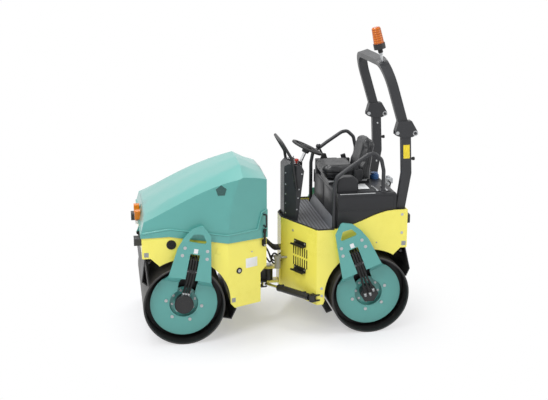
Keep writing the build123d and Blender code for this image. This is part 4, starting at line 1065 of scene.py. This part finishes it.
# Scrapers and spray bars: black sheet arms that hold a blade just off each drum, before and behind it.
# A pipe with brass nozzles hangs under each outer sill on four brackets and wets the drum.
dress(black, "front_scraper_fore", "front_scraper_aft", "rear_scraper_fore", "rear_scraper_aft")
brass = painted("brass", (0.56, 0.36, 0.10), 0.35, 300.0, 0.0003, mottle=0.1, Metallic=0.9)
for end, word, body, _ in ends:
    x, z = (1.262, 0.838) if end > 0 else (-1.258, 0.824)
    pipe = [tube([(x, -0.60, z), (x, 0.0, z), (x, 0.60, z)], 0.014)]
    nozzles = []
    for y in (-0.55, -0.20, 0.20, 0.55):
        pipe.append(soften(slab((x, y, z + 0.024), (0.034, 0.03, 0.052)), 0.003))
    for count in range(6):
        nozzles.append(((x - end * 0.008, -0.50 + 0.2 * count, z - 0.010), (-end, 0.0, -1.0)))
    fit(joined(*pipe), word + "_spray_bar", body, black)
    tip = face_in(rod((0.0, 0.0, 0.0), 0.009, 0.016, sides=6), [(0.003, 0.004)])
    fit(copies(soften(tip, 0.001), nozzles), word + "_spray_nozzles", body, brass)

# Steering joint: forged ears and a king pin between the bodies, with a hydraulic cylinder on the left.
# Rubber hoses cross it in a loose bundle.
dress(black, "front_link", "barrel_lug", "steer_barrel")
dress(chrome, "steer_rod")
bundle = []
for count, y in enumerate((-0.060, -0.020, 0.020, 0.060)):
    sag = 0.006 * (count % 2)
    bundle.append(tube([(0.088, y, 0.820), (0.050, y, 0.821), (0.010, y * 1.1, 0.812 - sag),
                        (-0.025, y * 1.15, 0.772 - sag), (-0.060, y * 1.1, 0.740 - sag), (-0.090, y, 0.734),
                        (-0.124, y, 0.735)], 0.0125))
bundle = joined(*bundle)
bundle.name = "joint_hoses"
bundle.data.materials.append(rubber)
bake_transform(bundle)
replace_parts(bundle, "link_hoses")
thin_radius = 0.0085
loops = []
for y, low in ((0.075, 0.67), (0.105, 0.60), (0.135, 0.64)):
    loops.append(tube([(0.090, y, 0.790), (0.055, y, 0.785), (0.015, y + 0.005, 0.740),
                       (-0.005, y + 0.01, 0.670), (-0.03, y + 0.01, low), (-0.07, y, low - 0.015),
                       (-0.105, y, low + 0.01), (-0.15, y, low + 0.04)], thin_radius))
loops.append(tube([(0.090, 0.165, 0.700), (0.060, 0.165, 0.700), (0.035, 0.17, 0.67), (0.01, 0.175, 0.63),
                   (-0.005, 0.18, 0.64), (-0.012, 0.185, 0.69), (-0.03, 0.185, 0.735), (-0.072, 0.185, 0.715),
                   (-0.072, 0.185, 0.69)], thin_radius))
loops = joined(*loops)
loops.name = "pilot_hoses"
loops.data.materials.append(rubber)
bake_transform(loops)
filter_grey = painted("filter_grey", (0.36, 0.355, 0.33), 0.45, 200.0, 0.0006, mottle=0.12)
bowl = rod((-0.072, 0.185, 0.567), 0.031, 0.105, sides=40)
face_in(bowl, [(0.004, 0.004)])
neck = rod((-0.072, 0.185, 0.672), 0.039, 0.030, sides=40)
face_in(neck, [(0.008, 0.006), (0.010, -0.003)])
arm = slab((-0.125, 0.187, 0.684), (0.11, 0.024, 0.012))
fit(soften(joined(bowl, neck, arm), 0.003), "oil_filter", "rear_frame", filter_grey)
pin_cap = rod((0.0, 0.0, 0.5395), 0.046, 0.010, sides=40)
face_in(pin_cap, [(0.010, 0.006), (0.010, -0.003)])
fit(soften(pin_cap, 0.002), "king_pin_cap", "rear_frame", zinc)
cylinder_run = Vector((0.41, -0.51, 0.0)).normalized()
barrel_foot = Vector((-0.350, 0.630, 0.385))
gland = rod(barrel_foot + cylinder_run * 0.428, 0.0365, 0.024, cylinder_run, 40)
face_in(gland, [(0.010, -0.002)])
band = rod(barrel_foot + cylinder_run * 0.060, 0.0365, 0.016, cylinder_run, 40)
face_in(band, [(0.004, 0.001)])
fit(soften(joined(gland, band), 0.0015), "cylinder_gland", "steer_barrel", black)
blocks = []
for reach in (0.10, 0.395):
    spot = barrel_foot + cylinder_run * reach
    blocks.append(soften(slab(spot + Vector((0.0, 0.0, 0.034)), (0.03, 0.03, 0.02)), 0.003))
fit(joined(*blocks), "cylinder_ports", "steer_barrel", black)
